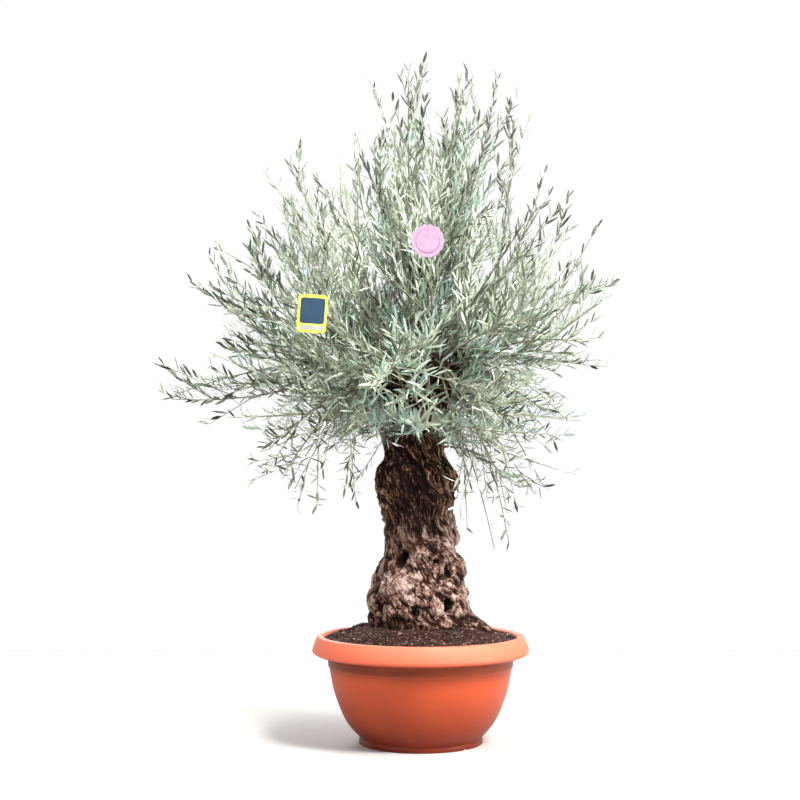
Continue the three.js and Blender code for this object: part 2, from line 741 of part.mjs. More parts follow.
// Opposite pairs of leaves, each pair a quarter turn on from the last, closing up towards the tip.
function leafPairs(own, shares, seed, placeAt) {
  const leaves = [];
  shares.forEach((share, k) => {
    const [root, tangent] = placeAt(share);
    const open = LEAF.angle + (LEAF.tipAngle - LEAF.angle) * share * share;
    for (const hand of [0, 2]) {
      const sway = LEAF.sway * (draw(seed, k + 9 * hand) - 0.5);
      const way = wayOut(tangent, k + hand, radians(open + sway));
      const size = LEAF.vary[0] + LEAF.vary[1] * draw(seed, k + 40 + 9 * hand);
      const fits = [0.25, 0.5, 0.75, 1].every((part) => {
        const halfWidth = LEAF.width * size * (0.5 - Math.abs(part - 0.5));
        const mark = root.clone().addScaledVector(way, LEAF.length * size * part);
        return inSpace(mark, own, halfWidth + LEAF.clear);
      });
      if (fits) leaves.push(leafSolid(root, way, tangent, size));
    }
  });
  return leaves;
}

// One mass: its stem, the twigs that branch from it and their leaves, fused into one solid.
function massSolid(own, holder) {
  const shape = limb(stems[own], stemRadius, STEM.sides, STEM.steps);
  const pieces = [solidFrom(shape).subtract(holder)];
  pieces.push(...leafPairs(own, STEM_PAIRS, own * 31, (share) => onStem(own, share)));
  const count = Math.round(stems[own].getLength() / TWIG_ROOM.along);
  TWIG_PLACES.slice(0, count).forEach((share, i) => {
    const twig = twigLine(own, share, i);
    if (!twig) return;
    const placeAt = (part) => [twig.getPoint(part), twig.getTangent(part)];
    pieces.push(twigSolid(twig), ...leafPairs(own, TWIG_PAIRS, own * 31 + i + 1, placeAt));
  });
  return join(pieces);
}

// A label: a thin plate with a strap back to its stem and a collar round it.
function labelSolid(name) {
  const { lobes, corner, from, along, tilt = 0 } = LABELS[name];
  const { centre, hold, top, size } = labelFrames[Object.keys(LABELS).indexOf(name)];
  const outline = lobes ? scallops(size[0], lobes) : roundedCard(size, corner);
  const settings = { depth: LABEL.thickness, bevelEnabled: false, curveSegments: 4 };
  const plate = new THREE.ExtrudeGeometry(outline, settings).translate(0, 0, -LABEL.thickness / 2);
  plate.rotateX(Math.PI / 2).rotateY(radians(tilt)).translate(centre.x, centre.y, centre.z);
  const [, tangent] = onStem(names.indexOf(from), along);
  const ring = stemRadius(along) + COLLAR.thickness + COLLAR.gap;
  const collar = new THREE.TorusGeometry(ring, COLLAR.thickness, 4, 8);
  collar.applyQuaternion(new THREE.Quaternion().setFromUnitVectors(UP, tangent));
  collar.translate(hold.x, hold.y, hold.z);
  const toPlate = top.clone().sub(hold);
  const outward = toPlate.clone().addScaledVector(tangent, -toPlate.dot(tangent)).normalize();
  const line = new THREE.LineCurve3(hold.clone().addScaledVector(outward, ring), top);
  const strap = limb(line, () => LABEL.strap, 5, 1);
  return join([plate, collar, strap].map(solidFrom));
}

function scallops(radius, lobes) {
  const points = Array.from({ length: lobes * 3 }, (_, i) => {
    const turn = (i / (lobes * 3)) * TURN;
    const out = radius * (1 - LABEL.scallop * (1 - Math.abs(Math.cos((turn * lobes) / 2))));
    return new THREE.Vector2(out * Math.cos(turn), out * Math.sin(turn));
  });
  return new THREE.Shape(points);
}

function roundedCard([halfWidth, halfHeight], corner) {
  const outline = new THREE.Shape();
  const [x, y] = [halfWidth - corner, halfHeight - corner];
  outline.absarc(x, y, corner, 0, Math.PI / 2);
  outline.absarc(-x, y, corner, Math.PI / 2, Math.PI);
  outline.absarc(-x, -y, corner, Math.PI, Math.PI * 1.5);
  outline.absarc(x, -y, corner, Math.PI * 1.5, TURN);
  return outline;
}

function build() {
  const tree = new THREE.Group();
  const trunkWithGap = trunkSolid(GAP + 0.05);
  addPiece(tree, "pot", bowlSolid(), COLOURS.bowl, 0.45);
  addPiece(tree, "soil", soilSolid(trunkWithGap), COLOURS.soil, 1);
  addPiece(tree, "trunk", trunkSolid(0), COLOURS.bark, 0.95);
  const holders = { trunk: trunkWithGap };
  for (const name of Object.keys(BOUGHS)) {
    addPiece(tree, "bough_" + name, boughSolid(name, 0).subtract(trunkWithGap), COLOURS.bark, 0.95);
    holders[name] = join([boughSolid(name, GAP), trunkWithGap]);
  }
  names.forEach((name, own) => {
    const solid = massSolid(own, holders[MASSES[name].from]);
    addPiece(tree, "foliage_" + name, solid, COLOURS.leaf, 0.7);
  });
  for (const name of Object.keys(LABELS)) addPiece(tree, name, labelSolid(name), COLOURS[name], 0.4);
  return tree;
}

const tree = build();
export default tree;
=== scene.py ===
import itertools
import math

import bpy
import numpy as np
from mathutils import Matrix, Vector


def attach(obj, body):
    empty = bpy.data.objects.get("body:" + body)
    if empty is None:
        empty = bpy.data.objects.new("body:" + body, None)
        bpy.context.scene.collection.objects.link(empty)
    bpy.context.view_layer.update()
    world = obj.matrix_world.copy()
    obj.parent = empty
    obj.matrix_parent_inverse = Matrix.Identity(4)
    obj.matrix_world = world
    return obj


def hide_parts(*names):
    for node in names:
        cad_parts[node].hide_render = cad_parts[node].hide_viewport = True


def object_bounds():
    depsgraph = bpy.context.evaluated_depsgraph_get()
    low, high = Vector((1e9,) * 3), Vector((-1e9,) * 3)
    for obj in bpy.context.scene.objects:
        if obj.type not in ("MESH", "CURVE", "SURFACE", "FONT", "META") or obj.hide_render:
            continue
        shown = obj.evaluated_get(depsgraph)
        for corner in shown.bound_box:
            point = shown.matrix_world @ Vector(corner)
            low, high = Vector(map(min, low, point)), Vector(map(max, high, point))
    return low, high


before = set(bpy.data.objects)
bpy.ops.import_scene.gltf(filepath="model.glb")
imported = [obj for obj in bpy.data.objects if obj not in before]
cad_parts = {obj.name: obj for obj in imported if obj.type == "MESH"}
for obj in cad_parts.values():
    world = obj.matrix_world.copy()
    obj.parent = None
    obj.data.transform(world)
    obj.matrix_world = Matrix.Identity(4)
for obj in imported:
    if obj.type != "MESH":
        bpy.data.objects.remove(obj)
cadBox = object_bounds()
fullTurn = 2 * math.pi
up = np.array([0.0, 0.0, 1.0])


# Shared helpers

def linear(hexColour):
    # sRGB to linear light: a straight line near black, a power of 2.4 above it
    channels = np.array([int(hexColour[i : i + 2], 16) for i in (1, 3, 5)]) / 255
    light = np.where(channels <= 0.04045, channels / 12.92, ((channels + 0.055) / 1.055) ** 2.4)
    return (*(float(c) for c in light), 1.0)


def addNode(material, kind, output, sockets, stops=(), **settings):
    # adds a node and gives back one output: a socket is linked where its value comes out of a node, and
    # set where it is a number. A Mix of colours takes them at 6 and 7 and gives the result at 2
    node = material.node_tree.nodes.new("ShaderNode" + kind)
    for name, value in settings.items():
        setattr(node, name, value)
    for name, value in sockets.items():
        if isinstance(value, bpy.types.NodeSocket):
            material.node_tree.links.new(value, node.inputs[name])
        else:
            node.inputs[name].default_value = value
    for i, (place, hexColour) in enumerate(stops):
        elements = node.color_ramp.elements
        element = elements[i] if i < 2 else elements.new(place)
        element.position = place
        element.color = linear(hexColour)
    return node.outputs[output]


def startMaterial(name, sockets):
    # a new material, its shader with the sockets set, and the object coordinates in metres
    material = bpy.data.materials.new(name)
    material.use_nodes = True
    shader = material.node_tree.nodes["Principled BSDF"]
    for socket, value in sockets.items():
        shader.inputs[socket].default_value = value
    return material, shader, addNode(material, "TexCoord", "Object", {})


def joinTo(material, shader, relief=None, **links):
    # links the colour and the roughness to the shader, and the relief through a bump node: it is an
    # output, how strongly it shows, and its depth in millimetres
    names = {"colour": "Base Color", "roughness": "Roughness", "normal": "Normal"}
    if relief:
        height, strength, depth = relief
        bump = {"Height": height, "Strength": strength, "Distance": depth / 1000}
        links["normal"] = addNode(material, "Bump", "Normal", bump)
    for key, output in links.items():
        material.node_tree.links.new(output, shader.inputs[names[key]])
    return material


def toMesh(name, points, faceSets, materials, looks=None, smooth=True, attributes=None):
    # puts arrays into a mesh: points in millimetres, faceSets as arrays of corners with 3 or 4 columns
    mesh = bpy.data.meshes.new(name)
    sizes = np.concatenate([np.full(len(f), f.shape[1]) for f in faceSets])
    corners = np.concatenate([f.ravel() for f in faceSets]).astype(np.int32)
    mesh.vertices.add(len(points))
    mesh.vertices.foreach_set("co", (points * 0.001).astype(np.float32).ravel())
    mesh.loops.add(len(corners))
    mesh.loops.foreach_set("vertex_index", corners)
    mesh.polygons.add(len(sizes))
    mesh.polygons.foreach_set("loop_start", np.concatenate([[0], np.cumsum(sizes)[:-1]]).astype(np.int32))
    mesh.polygons.foreach_set("use_smooth", np.full(len(sizes), smooth))
    for material in materials:
        mesh.materials.append(material)
    if looks is not None:
        mesh.polygons.foreach_set("material_index", looks.astype(np.int32))
    for key, values in (attributes or {}).items():
        mesh.attributes.new(key, "FLOAT", "POINT").data.foreach_set("value", values.astype(np.float32))
    mesh.update(calc_edges=True)
    piece = bpy.data.objects.new(name, mesh)
    bpy.context.scene.collection.objects.link(piece)
    return piece


def addTubes(name, rings, materials, **more):
    # closed tubes in one mesh, from rings in the shape (tubes, rings, sides, 3): quads between the rings,
    # and at each end a fan to the middle of the last ring
    count, along, sides = rings.shape[:3]
    index = np.arange(count * along * sides).reshape(count, along, sides)
    beside = np.roll(index, -1, axis=2)
    quads = np.stack([index[:, :-1], beside[:, :-1], beside[:, 1:], index[:, 1:]], axis=-1).reshape(-1, 4)
    ends = count * along * sides + np.arange(2 * count).reshape(count, 2)
    foot = np.stack([np.repeat(ends[:, :1], sides, axis=1), beside[:, 0], index[:, 0]], axis=-1)
    tip = np.stack([np.repeat(ends[:, 1:], sides, axis=1), index[:, -1], beside[:, -1]], axis=-1)
    fans = np.concatenate([foot.reshape(-1, 3), tip.reshape(-1, 3)])
    middles = rings[:, [0, -1]].mean(axis=2)
    points = np.concatenate([rings.reshape(-1, 3), middles.reshape(-1, 3)])
    return toMesh(name, points, [quads, fans], materials, **more)


def finishPiece(piece, slotName, *nodes):
    # the tree is one body, and a piece takes the place of its solids where it has some
    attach(piece, "root")
    if nodes:
        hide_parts(*nodes)


def xyz(x, y, z):
    # points from their three columns, each spread to the shape of the others
    return np.stack(np.broadcast_arrays(x, y, z), axis=-1)


def turns(count):
    # so many even steps of one full turn, in radians
    return np.arange(count) / count * fullTurn


def unit(vectors):
    # each vector over its own length
    return vectors / np.maximum(np.linalg.norm(vectors, axis=-1, keepdims=True), 1e-9)


def nearTurn(turn, middle):
    # how far a turn is from another, from minus half a turn to half a turn; the other is in degrees
    return (turn - math.radians(middle) + math.pi) % fullTurn - math.pi


def smoothStep(value, low, high):
    # from 0 at low to 1 at high: three times the square less twice the cube
    t = np.clip((value - low) / (high - low), 0, 1)
    return t * t * (3 - 2 * t)


def draw(seed, count):
    # a repeatable number from 0 to 1 for each pair of a seed and a count
    wave = np.sin(np.asarray(seed) * 12.9898 + np.asarray(count) * 78.233) * 43758.5453
    return wave - np.floor(wave)


def cornerDraw(corner, seed):
    # a repeatable number from 0 to 1 for each corner of a whole-number lattice
    return draw(corner[..., 0] + 0.137 * seed, corner[..., 1] * 1.31 + corner[..., 2] * 2.417)


def softNoise(points, size, seed):
    # value noise from -1 to 1: a drawn number at each corner of a lattice, blended by smooth steps
    place = points / size
    cell = np.floor(place)
    part = place - cell
    part = part * part * (3 - 2 * part)
    total = np.zeros(points.shape[:-1])
    for corner in itertools.product((0, 1), repeat=3):
        weight = np.prod(np.where(np.array(corner) == 1, part, 1 - part), axis=-1)
        total += weight * cornerDraw(cell + corner, seed)
    return 2 * total - 1


def knobs(points, size, seed):
    # rounded knobs with sharp creases between, from 0 to 1: the root of one minus the squared ratio of
    # the distances to the nearest and the next of the jittered centres, one in each lattice cube
    place = points / size
    cell = np.floor(place)
    nearest = np.full(points.shape[:-1], 9.0)
    second = np.full(points.shape[:-1], 9.0)
    for step in itertools.product((-1, 0, 1), repeat=3):
        corner = cell + step
        jitter = np.stack([cornerDraw(corner, seed + k) for k in range(3)], axis=-1)
        away = ((place - corner - 0.1 - 0.8 * jitter) ** 2).sum(axis=-1)
        second = np.minimum(second, np.maximum(nearest, away))
        nearest = np.minimum(nearest, away)
    return np.sqrt(np.maximum(1 - nearest / second, 0))


# Camera, floor and light

studio = {
    "eye": (-0.067, -4.784, 0.89),  # metres
    "tilt": 2.64,  # degrees above level
    "lens": 65.69,
    "floor": [(0.3, "#bfbdba"), (0.7, "#c8c6c3")],
    "floorCloud": 667,  # mm across a change of tone
    "floorReach": 2300,  # mm from the middle to each side
    "ceiling": "#7d7d7d",
    "room": "#7d7d7d",
    # place, size, watts and spread of each soft light, and the height on the tree that it aims at
    "lights": {
        "key": ((2.3, -2.8, 4.6), 1.4, 560, 180, 1.0),
        "fill": ((-3.4, -2.4, 3.4), 2.0, 28, 180, 1.0),
        "side": ((3.6, -1.5, 1.3), 1.0, 4.5, 30, 0.35),
        "crown": ((-2.4, -2.8, 3.7), 1.0, 10, 30, 1.3),
        "top": ((0.2, -0.3, 5.0), 1.6, 340, 180, 1.0),
        "back": ((-0.8, 3.8, 3.0), 2.2, 150, 180, 1.0),
    },
}


def placeCamera():
    # where the fit to the bowl's rim and foot puts it, level from side to side
    camera = bpy.data.objects.new("camera", bpy.data.cameras.new("camera"))
    camera.location = studio["eye"]
    camera.rotation_euler = (math.radians(90 + studio["tilt"]), 0, 0)
    camera.data.lens = studio["lens"]
    camera.data.sensor_width = 36
    bpy.context.scene.collection.objects.link(camera)
    bpy.context.scene.camera = camera


def makeRoom():
    # a white wall behind the tree, a grey room in front of it, and a grey ceiling above the camera's view
    world = bpy.data.worlds.new("studio")
    world.use_nodes = True
    way = addNode(world, "TexCoord", "Generated", {})
    back = addNode(world, "SeparateXYZ", "Y", {0: way})
    wall = addNode(world, "ValToRGB", "Color", {0: back}, [(0.05, studio["room"]), (0.4, "#ffffff")])
    height = addNode(world, "SeparateXYZ", "Z", {0: way})
    above = addNode(world, "ValToRGB", "Color", {0: height}, [(0.36, "#ffffff"), (0.5, studio["ceiling"])])
    both = {0: 1.0, 6: wall, 7: above}
    tone = addNode(world, "Mix", 2, both, data_type="RGBA", blend_type="DARKEN")
    world.node_tree.links.new(tone, world.node_tree.nodes["Background"].inputs["Color"])
    bpy.context.scene.world = world
    bpy.context.scene.view_settings.view_transform = "Standard"


def hangLights():
    # square soft lights, each turned to its aim on the tree's axis
    for name, (place, size, watts, spread, height) in studio["lights"].items():
        light = bpy.data.lights.new(name, "AREA")
        light.size = size
        light.energy = watts
        light.spread = math.radians(spread)
        holder = bpy.data.objects.new(name, light)
        holder.location = place
        aim = Vector((0, 0, height)) - Vector(place)
        holder.rotation_euler = aim.to_track_quat("-Z", "Y").to_euler()
        bpy.context.scene.collection.objects.link(holder)


def layFloor():
    # studio floor: matt painted board, faintly uneven in tone
    material, shader, place = startMaterial("matt painted floor", {"Roughness": 0.9})
    cloud = {"Vector": place, "Scale": 1000 / studio["floorCloud"], "Detail": 3}
    tone = addNode(material, "TexNoise", "Fac", cloud)
    joinTo(material, shader, colour=addNode(material, "ValToRGB", "Color", {0: tone}, studio["floor"]))
    corners = studio["floorReach"] * np.array([[-1, -1, 0], [1, -1, 0], [1, 1, 0], [-1, 1, 0]], float)
    floor = toMesh("floor", corners, [np.array([[0, 1, 2, 3]])], [material])


placeCamera()
makeRoom()
hangLights()
layFloor()
print("stage: camera, floor and light")


# The bowl

bowl = {
    "foot": [(0, 0), (45, 0), (49, 7), (180, 7), (184, 0), (198, 0), (200, 1.5), (200.5, 5), (199, 14),
             (196.5, 17)],
    "wallCurve": [(196, 18), (243, 74), (280, 162), (298, 246)],
    "ledge": [(300.5, 247.5), (301, 250), (301.5, 262), (302, 270)],
    "rim": [(304, 272.5), (321, 278), (339, 284.5), (348, 289.5), (351.5, 295), (351, 302), (347, 316),
            (341.5, 330), (336.5, 340.5), (332, 344.6), (326, 345.5), (319, 344.2), (314.5, 339),
            (312, 331), (309, 313)],
    "inside": [(295, 272), (291, 244), (273, 160), (237, 75), (190, 20), (186, 15), (0, 15)],
    "around": 400,
    "notches": 4,
    "notchRadius": 15,
    "notchRise": 6,
    "footRing": (181, 16),  # the notches stand outside this radius and below this height
    # the wall from its foot to the rim: darker below as painted shade
    "wallColours": [(0.15, "#661e0a"), (0.95, "#b84a26")],
    # the painted shadow on the wall under the rim
    "rimShadowColours": [(0.3, "#6b2812"), (0.7, "#7f3519")],
    # the rim's colours, paler than the wall as painted light from above
    "litRimColours": [(0.15, "#d66145"), (0.9, "#d96f54")],
    # two heights, and how much there is at the second: the wall gets paler upwards (painted shade below),
    # the painted shadow under the rim sets in, the rim with painted light from above sets in, paler to its
    # lip
    "fades": {
        "wall": (-30, 300, 1.0, "LINEAR"),
        "rimShadow": (212, 268, 1.0, "SMOOTHSTEP"),
        "litRim": (283, 291, 1.0, "LINEAR"),
        "litLip": (285, 340, 0.7, "LINEAR"),
    },
    "cloudSize": 111.1,
    "grainSize": 2.381,  # coarser than the real grain, so that it shows
}


def smoothLine(marks, steps):
    # a curve through all the marks: on each stretch, a cubic whose ends have their neighbours' slopes
    marks = np.array(marks, float)
    padded = np.concatenate([[2 * marks[0] - marks[1]], marks, [2 * marks[-1] - marks[-2]]])
    a, b, c, d = padded[:-3, None], padded[1:-2, None], padded[2:-1, None], padded[3:, None]
    t = (np.arange(steps) / steps)[None, :, None]
    line = b + 0.5 * t * (c - a + t * (2 * a - 5 * b + 4 * c - d + t * (3 * (b - c) + d - a)))
    return np.concatenate([line.reshape(-1, marks.shape[1]), marks[-1:]])


def bowlMaterial():
    # polypropylene with a terracotta tint, injection moulded: an even satin skin with a fine grain,
    # faint cloudy flow marks, painted shade darkening the wall towards the bottom, a band of painted
    # shadow under the rim, and a paler rim with painted light from above, paler still towards the lip
    skin = {"IOR": 1.49, "Specular IOR Level": 0.22}
    material, shader, place = startMaterial("moulded polypropylene", skin)
    height = addNode(material, "SeparateXYZ", "Z", {0: place})
    fades = {}
    for name, (low, high, most, kind) in bowl["fades"].items():
        span = {"Value": height, "From Min": low / 1000, "From Max": high / 1000, "To Max": most}
        fades[name] = addNode(material, "MapRange", "Result", span, interpolation_type=kind)
    flow = {"Vector": place, "Scale": 1000 / bowl["cloudSize"], "Detail": 5, "Roughness": 0.6}
    cloud = addNode(material, "TexNoise", "Fac", flow)

    def clouded(fade, share, colours):
        # the clouds add their share to a fade, and a ramp turns the sum into colour
        tone = addNode(material, "Math", 0, {0: cloud, 1: share, 2: fades[fade]}, operation="MULTIPLY_ADD")
        return addNode(material, "ValToRGB", "Color", {0: tone}, bowl[colours])

    # a band of painted shadow on the wall under the rim, clouded
    shadowTone = addNode(material, "ValToRGB", "Color", {0: cloud}, bowl["rimShadowColours"])
    # the wall's colour darkens towards the bottom as painted shade
    shadowed = {0: fades["rimShadow"], 6: clouded("wall", 0.25, "wallColours"), 7: shadowTone}
    wall = addNode(material, "Mix", 2, shadowed, data_type="RGBA")
    # the rim takes a paler colour, painted light from above, and paler still to its lip
    rimmed = {0: fades["litRim"], 6: wall, 7: clouded("litLip", 0.4, "litRimColours")}
    colour = addNode(material, "Mix", 2, rimmed, data_type="RGBA")
    scuff = addNode(material, "MapRange", "Result", {"Value": cloud, "To Min": 0.38, "To Max": 0.6})
    fine = {"Vector": place, "Scale": 1000 / bowl["grainSize"], "Detail": 2}
    grain = addNode(material, "TexNoise", "Fac", fine)
    return joinTo(material, shader, (grain, 0.12, 0.6), colour=colour, roughness=scuff)


def makeBowl():
    # a profile turned round the upright axis; the foot ring is lifted to an arch at each notch
    parts = [
        np.array(bowl["foot"], float),
        smoothLine(bowl["wallCurve"], 14),
        np.array(bowl["ledge"], float),
        smoothLine(bowl["rim"], 4),
        np.array(bowl["inside"], float),
    ]
    profile = np.concatenate(parts)
    profile[0, 0] = profile[-1, 0] = 1.0
    turn = turns(bowl["around"])
    radius, height = profile[:, :1], profile[:, 1:]
    sector = fullTurn / bowl["notches"]
    aside = (turn % sector - sector / 2)[None, :] * radius
    arch = np.sqrt(np.maximum(bowl["notchRadius"] ** 2 - aside**2, 0))
    arch = arch + bowl["notchRise"] - bowl["notchRadius"]
    within, below = bowl["footRing"]
    underneath = np.arange(len(profile))[:, None] < len(bowl["foot"])
    inFoot = (radius > within) & (height < below) & underneath
    level = np.where(inFoot, np.maximum(height, arch), height)
    rings = xyz(radius * np.cos(turn), radius * np.sin(turn), level)[None]
    finishPiece(addTubes("bowl", rings, [bowlMaterial()]), "pot", "pot")


makeBowl()
print("stage: bowl")


# The soil

soil = {
    "edgeHeight": 336,
    "moundRise": 41,
    "moundFoot": 305,
    "moundTop": 160,
    "lump": 3.5,
    "lumpFade": 20,  # mm over which the lumps die out
    "outer": 311,
    "bottom": 320,
    "rings": 150,
    "around": 380,
    # rise, width and seed of the crumbs in the surface, and of its dips
    "grit": [(2.6, 13, 5), (1.6, 7, 9)],
    "dips": (2.2, 34, 3),
    "crumbs": 2600,
    "crumbReach": (160, 140),  # mm from the axis to the nearest, and from there to the farthest
    "crumbSize": (2.2, 4.6),  # mm of the smallest, and what the largest has more
    "woodShare": 0.07,
    # dark, middle and pale
    "compost": ("#0d0504", "#371f19", "#7c5e52"),
    "wood": ("#6b5648", "#8a7260", "#c9b7a2"),
    "grainSize": 5.263,
    "fibreSize": 1.923,
}


def soilHeight(x, y):
    # a mound that falls from the trunk to the rim, with lumps from two slow waves, which die out at the
    # edge
    out = np.hypot(x, y)
    mound = 1 - smoothStep(out, soil["moundTop"], soil["moundFoot"])
    lumps = np.sin(x / 23 + 1) * np.cos(y / 19) + 0.6 * np.sin((x + y) / 31)
    edge = np.clip((soil["moundFoot"] + 5 - out) / soil["lumpFade"], 0, 1)
    return soil["edgeHeight"] + soil["moundRise"] * mound + soil["lump"] * lumps * edge


def soilMaterial(name, dark, middle, pale):
    # bark compost, milled and damp: rough crumbs 3 to 10 mm wide, nearly black between, with straw-pale bits
    material, shader, place = startMaterial(name, {"Roughness": 0.95, "Specular IOR Level": 0.25})
    crumb = addNode(material, "TexVoronoi", "Color", {"Vector": place, "Scale": 1000 / soil["grainSize"]})
    tone = addNode(material, "SeparateColor", "Red", {0: crumb})
    stops = [(0.1, dark), (0.6, middle), (0.88, middle), (0.97, pale)]
    colour = addNode(material, "ValToRGB", "Color", {0: tone}, stops)
    fibre = {"Vector": place, "Scale": 1000 / soil["fibreSize"], "Detail": 3}
    return joinTo(material, shader, (addNode(material, "TexNoise", "Fac", fibre), 0.6, 2), colour=colour)


def makeSoil(compost):
    # rings from the middle out over the mound, down inside the rim and back to the middle underneath
    turn = turns(soil["around"])
    radius = np.linspace(2, soil["outer"], soil["rings"])[:, None]
    x, y = radius * np.cos(turn), radius * np.sin(turn)
    flat = xyz(x, y, 0)
    grit = sum(rise * knobs(flat, size, seed) for rise, size, seed in soil["grit"])
    rise, size, seed = soil["dips"]
    top = xyz(x, y, soilHeight(x, y) + grit + rise * softNoise(flat, size, seed))
    skirt = top[-1] * [1, 1, 0] + [0, 0, soil["bottom"]]
    under = skirt * [0.01, 0.01, 1]
    rings = np.concatenate([top, [skirt, under]])[None, ::-1]
    finishPiece(addTubes("soil_bed", rings, [compost]), "soil", "soil")


def makeCrumbs(compost):
    # bits that lie loose on the bed: an octahedron each, squashed, turned and sized by draws
    count = np.arange(soil["crumbs"])
    nearest, spread = soil["crumbReach"]
    out = nearest + spread * np.sqrt(draw(11, count))
    turn = fullTurn * draw(12, count)
    x, y = out * np.cos(turn), out * np.sin(turn)
    smallest, more = soil["crumbSize"]
    size = smallest + more * draw(13, count) ** 3
    centre = xyz(x, y, soilHeight(x, y) + 1.5 + 0.25 * size)
    corners = np.array([[1, 0, 0], [0, 1, 0], [-1, 0, 0], [0, -1, 0], [0, 0, 1], [0, 0, -1]], float)
    stretch = 0.55 + 0.9 * np.stack([draw(14 + k, count) for k in range(3)], axis=-1)
    spin = (fullTurn * draw(18, count))[:, None]
    lean = 1.2 * (draw(19, count) - 0.5)
    shape = corners[None] * (stretch * size[:, None])[:, None]
    alongX = shape[..., 0] * np.cos(spin) - shape[..., 1] * np.sin(spin)
    alongY = shape[..., 0] * np.sin(spin) + shape[..., 1] * np.cos(spin)
    rise = shape[..., 2] * 0.7 + alongX * lean[:, None]
    points = (centre[:, None] + xyz(alongX, alongY, rise)).reshape(-1, 3)
    upper = np.array([[4, 0, 1], [4, 1, 2], [4, 2, 3], [4, 3, 0]])
    lower = np.array([[5, 1, 0], [5, 2, 1], [5, 3, 2], [5, 0, 3]])
    faces = (np.concatenate([upper, lower])[None] + 6 * count[:, None, None]).reshape(-1, 3)
    wood = soilMaterial("pale wood chips", *soil["wood"])
    looks = np.repeat((draw(20, count) > 1 - soil["woodShare"]).astype(int), 8)
    finishPiece(toMesh("soil_crumbs", points, [faces], [compost, wood], looks, smooth=False), "soil")


barkCompost = soilMaterial("milled bark compost", *soil["compost"])
makeSoil(barkCompost)
makeCrumbs(barkCompost)
print("stage: soil")


# The trunk and the boughs

trunk = {
    # height, half width and sideways place of the axis, from the cut up to the head
    "stations": [
        (366, 171, 5), (400, 163, 2), (470, 155, -8), (520, 146, -3), (575, 132, 6), (625, 112, 3),
        (700, 108, -4), (750, 107, -14), (800, 124, -13), (850, 131, -12), (885, 121, -17), (925, 95, -17),
        (980, 97, -25), (1050, 106, -25), (1105, 112, -22), (1150, 92, -22), (1180, 48, -22),
    ],
    "foot": 352,  # where the bark begins, inside the soil
    "cut": 366,
    "top": 1180,
    "rings": 300,
    "around": 328,
    "depthBow": 14,
    "bowHeight": 230,
    # flutes: their depth and what it gains from the first height to the second, and where they die out
    "fluteDepth": (3, 4),
    "fluteGain": (560, 720),
    "fluteEnd": (1090, 1170),
    # lobes of the foot, and one root that stands out: rises, height where both begin, turn and width
    "lobeRise": 16,
    "rootRise": 34,
    "flareTop": 455,
    "rootTurn": -12,
    "rootWidth": 22,
    # turn in degrees from +X, height, radius, rise of the knots and hollows in front
    "knots": [
        (245, 670, 38, 20), (243, 512, 58, 24), (232, 430, 32, 20), (255, 428, 26, 16),
        (201, 462, 38, 18), (290, 448, 34, 22), (273, 494, 28, 14), (333, 566, 38, 20),
        (330, 458, 36, 20), (306, 612, 38, 15), (240, 605, 15, -30), (237, 585, 16, -34),
        (219, 444, 17, -26), (264, 434, 15, -30), (307, 456, 18, -38), (305, 438, 19, -42),
        (291, 586, 13, -24), (307, 566, 13, -24), (308, 549, 13, -26),
    ],
    # knots behind and small ones all round: how many, their radius and rise, and the first and the span
    # of their turns and heights
    "backKnots": 13,
    "backSize": 26,
    "backRise": 9,
    "backTurns": (-12, 204),
    "backHeights": (400, 320),
    "smallKnots": 76,
    "smallSize": 20,
    "smallRise": 8,
    "smallHeights": (384, 370),
    # the bark turns from knobs to cords between these heights
    "knobEnd": (580, 770),
    # how much of the relief the high knots lose
    "knotCalm": 0.45,
    # painted shade under the head, down the waist and by the foot: turn, height, radius, how much darker
    "shadePatches": [(266, 850, 80, 0.24), (273, 730, 62, 0.2), (222, 436, 42, 0.14)],
    # soil splashed up the foot: from full at the first height to none at the second, and how much darker
    "splash": (368, 428, 0.24),
}
head = np.array([-22.0, 0.0, 1085.0])
# turn, slope, length, radius at the base and at the tip, radius of the knuckle
boughRows = {
    "leader": (100, 80, 300, 42, 28, 43),
    "left": (184, 42, 255, 40, 26, 36),
    "right": (0, 44, 260, 40, 26, 36),
    "front_left": (240, 40, 235, 34, 23, 34),
    "front_right": (298, 42, 235, 34, 23, 34),
    "back_left": (130, 34, 245, 34, 23, 34),
    "back_right": (48, 34, 245, 34, 23, 34),
}
boughSizes = ("turn", "slope", "length", "base", "tip", "knuckle")
boughs = {name: dict(zip(boughSizes, row)) for name, row in boughRows.items()}
# the share of a bough that the head hides, its sideways bend and its sag
boughShape = {"hidden": 0.14, "bend": 26, "sag": 8}
# turn, slope, length and radius of the sawn stubs between the boughs
stubs = [(330, 26, 172, 30), (209, 20, 158, 27), (88, 12, 150, 30)]
bark = {
    # width and share of the winding cords, and width of the flakes
    "cords": [(26, 0.3), (11, 0.7), (6, 0.9)],
    "knobSizes": (60, 27),
    "flakeSizes": (7, 4),
    "stretch": 0.16,  # how much the patterns shrink along the wood
    "knobRise": 9,
    "cordRise": 4.5,
    "flakeRise": 1.2,
    "knobColours": [
        (0.14, "#110502"), (0.32, "#2d160c"), (0.48, "#6b4f44"), (0.64, "#a89085"), (0.92, "#dccdc5"),
    ],
    "cordColours": [
        (0.2, "#0c0402"), (0.43, "#231008"), (0.62, "#40281c"), (0.8, "#6f5344"), (1.0, "#a48a78"),
    ],
    "fibreSize": 4.348,
    "speckSize": 6.25,
    # the heights over which the colours of the cords take over, and the size of that border's bends
    "ageBand": (680, 920),
    "wanderSize": 90.9,
}


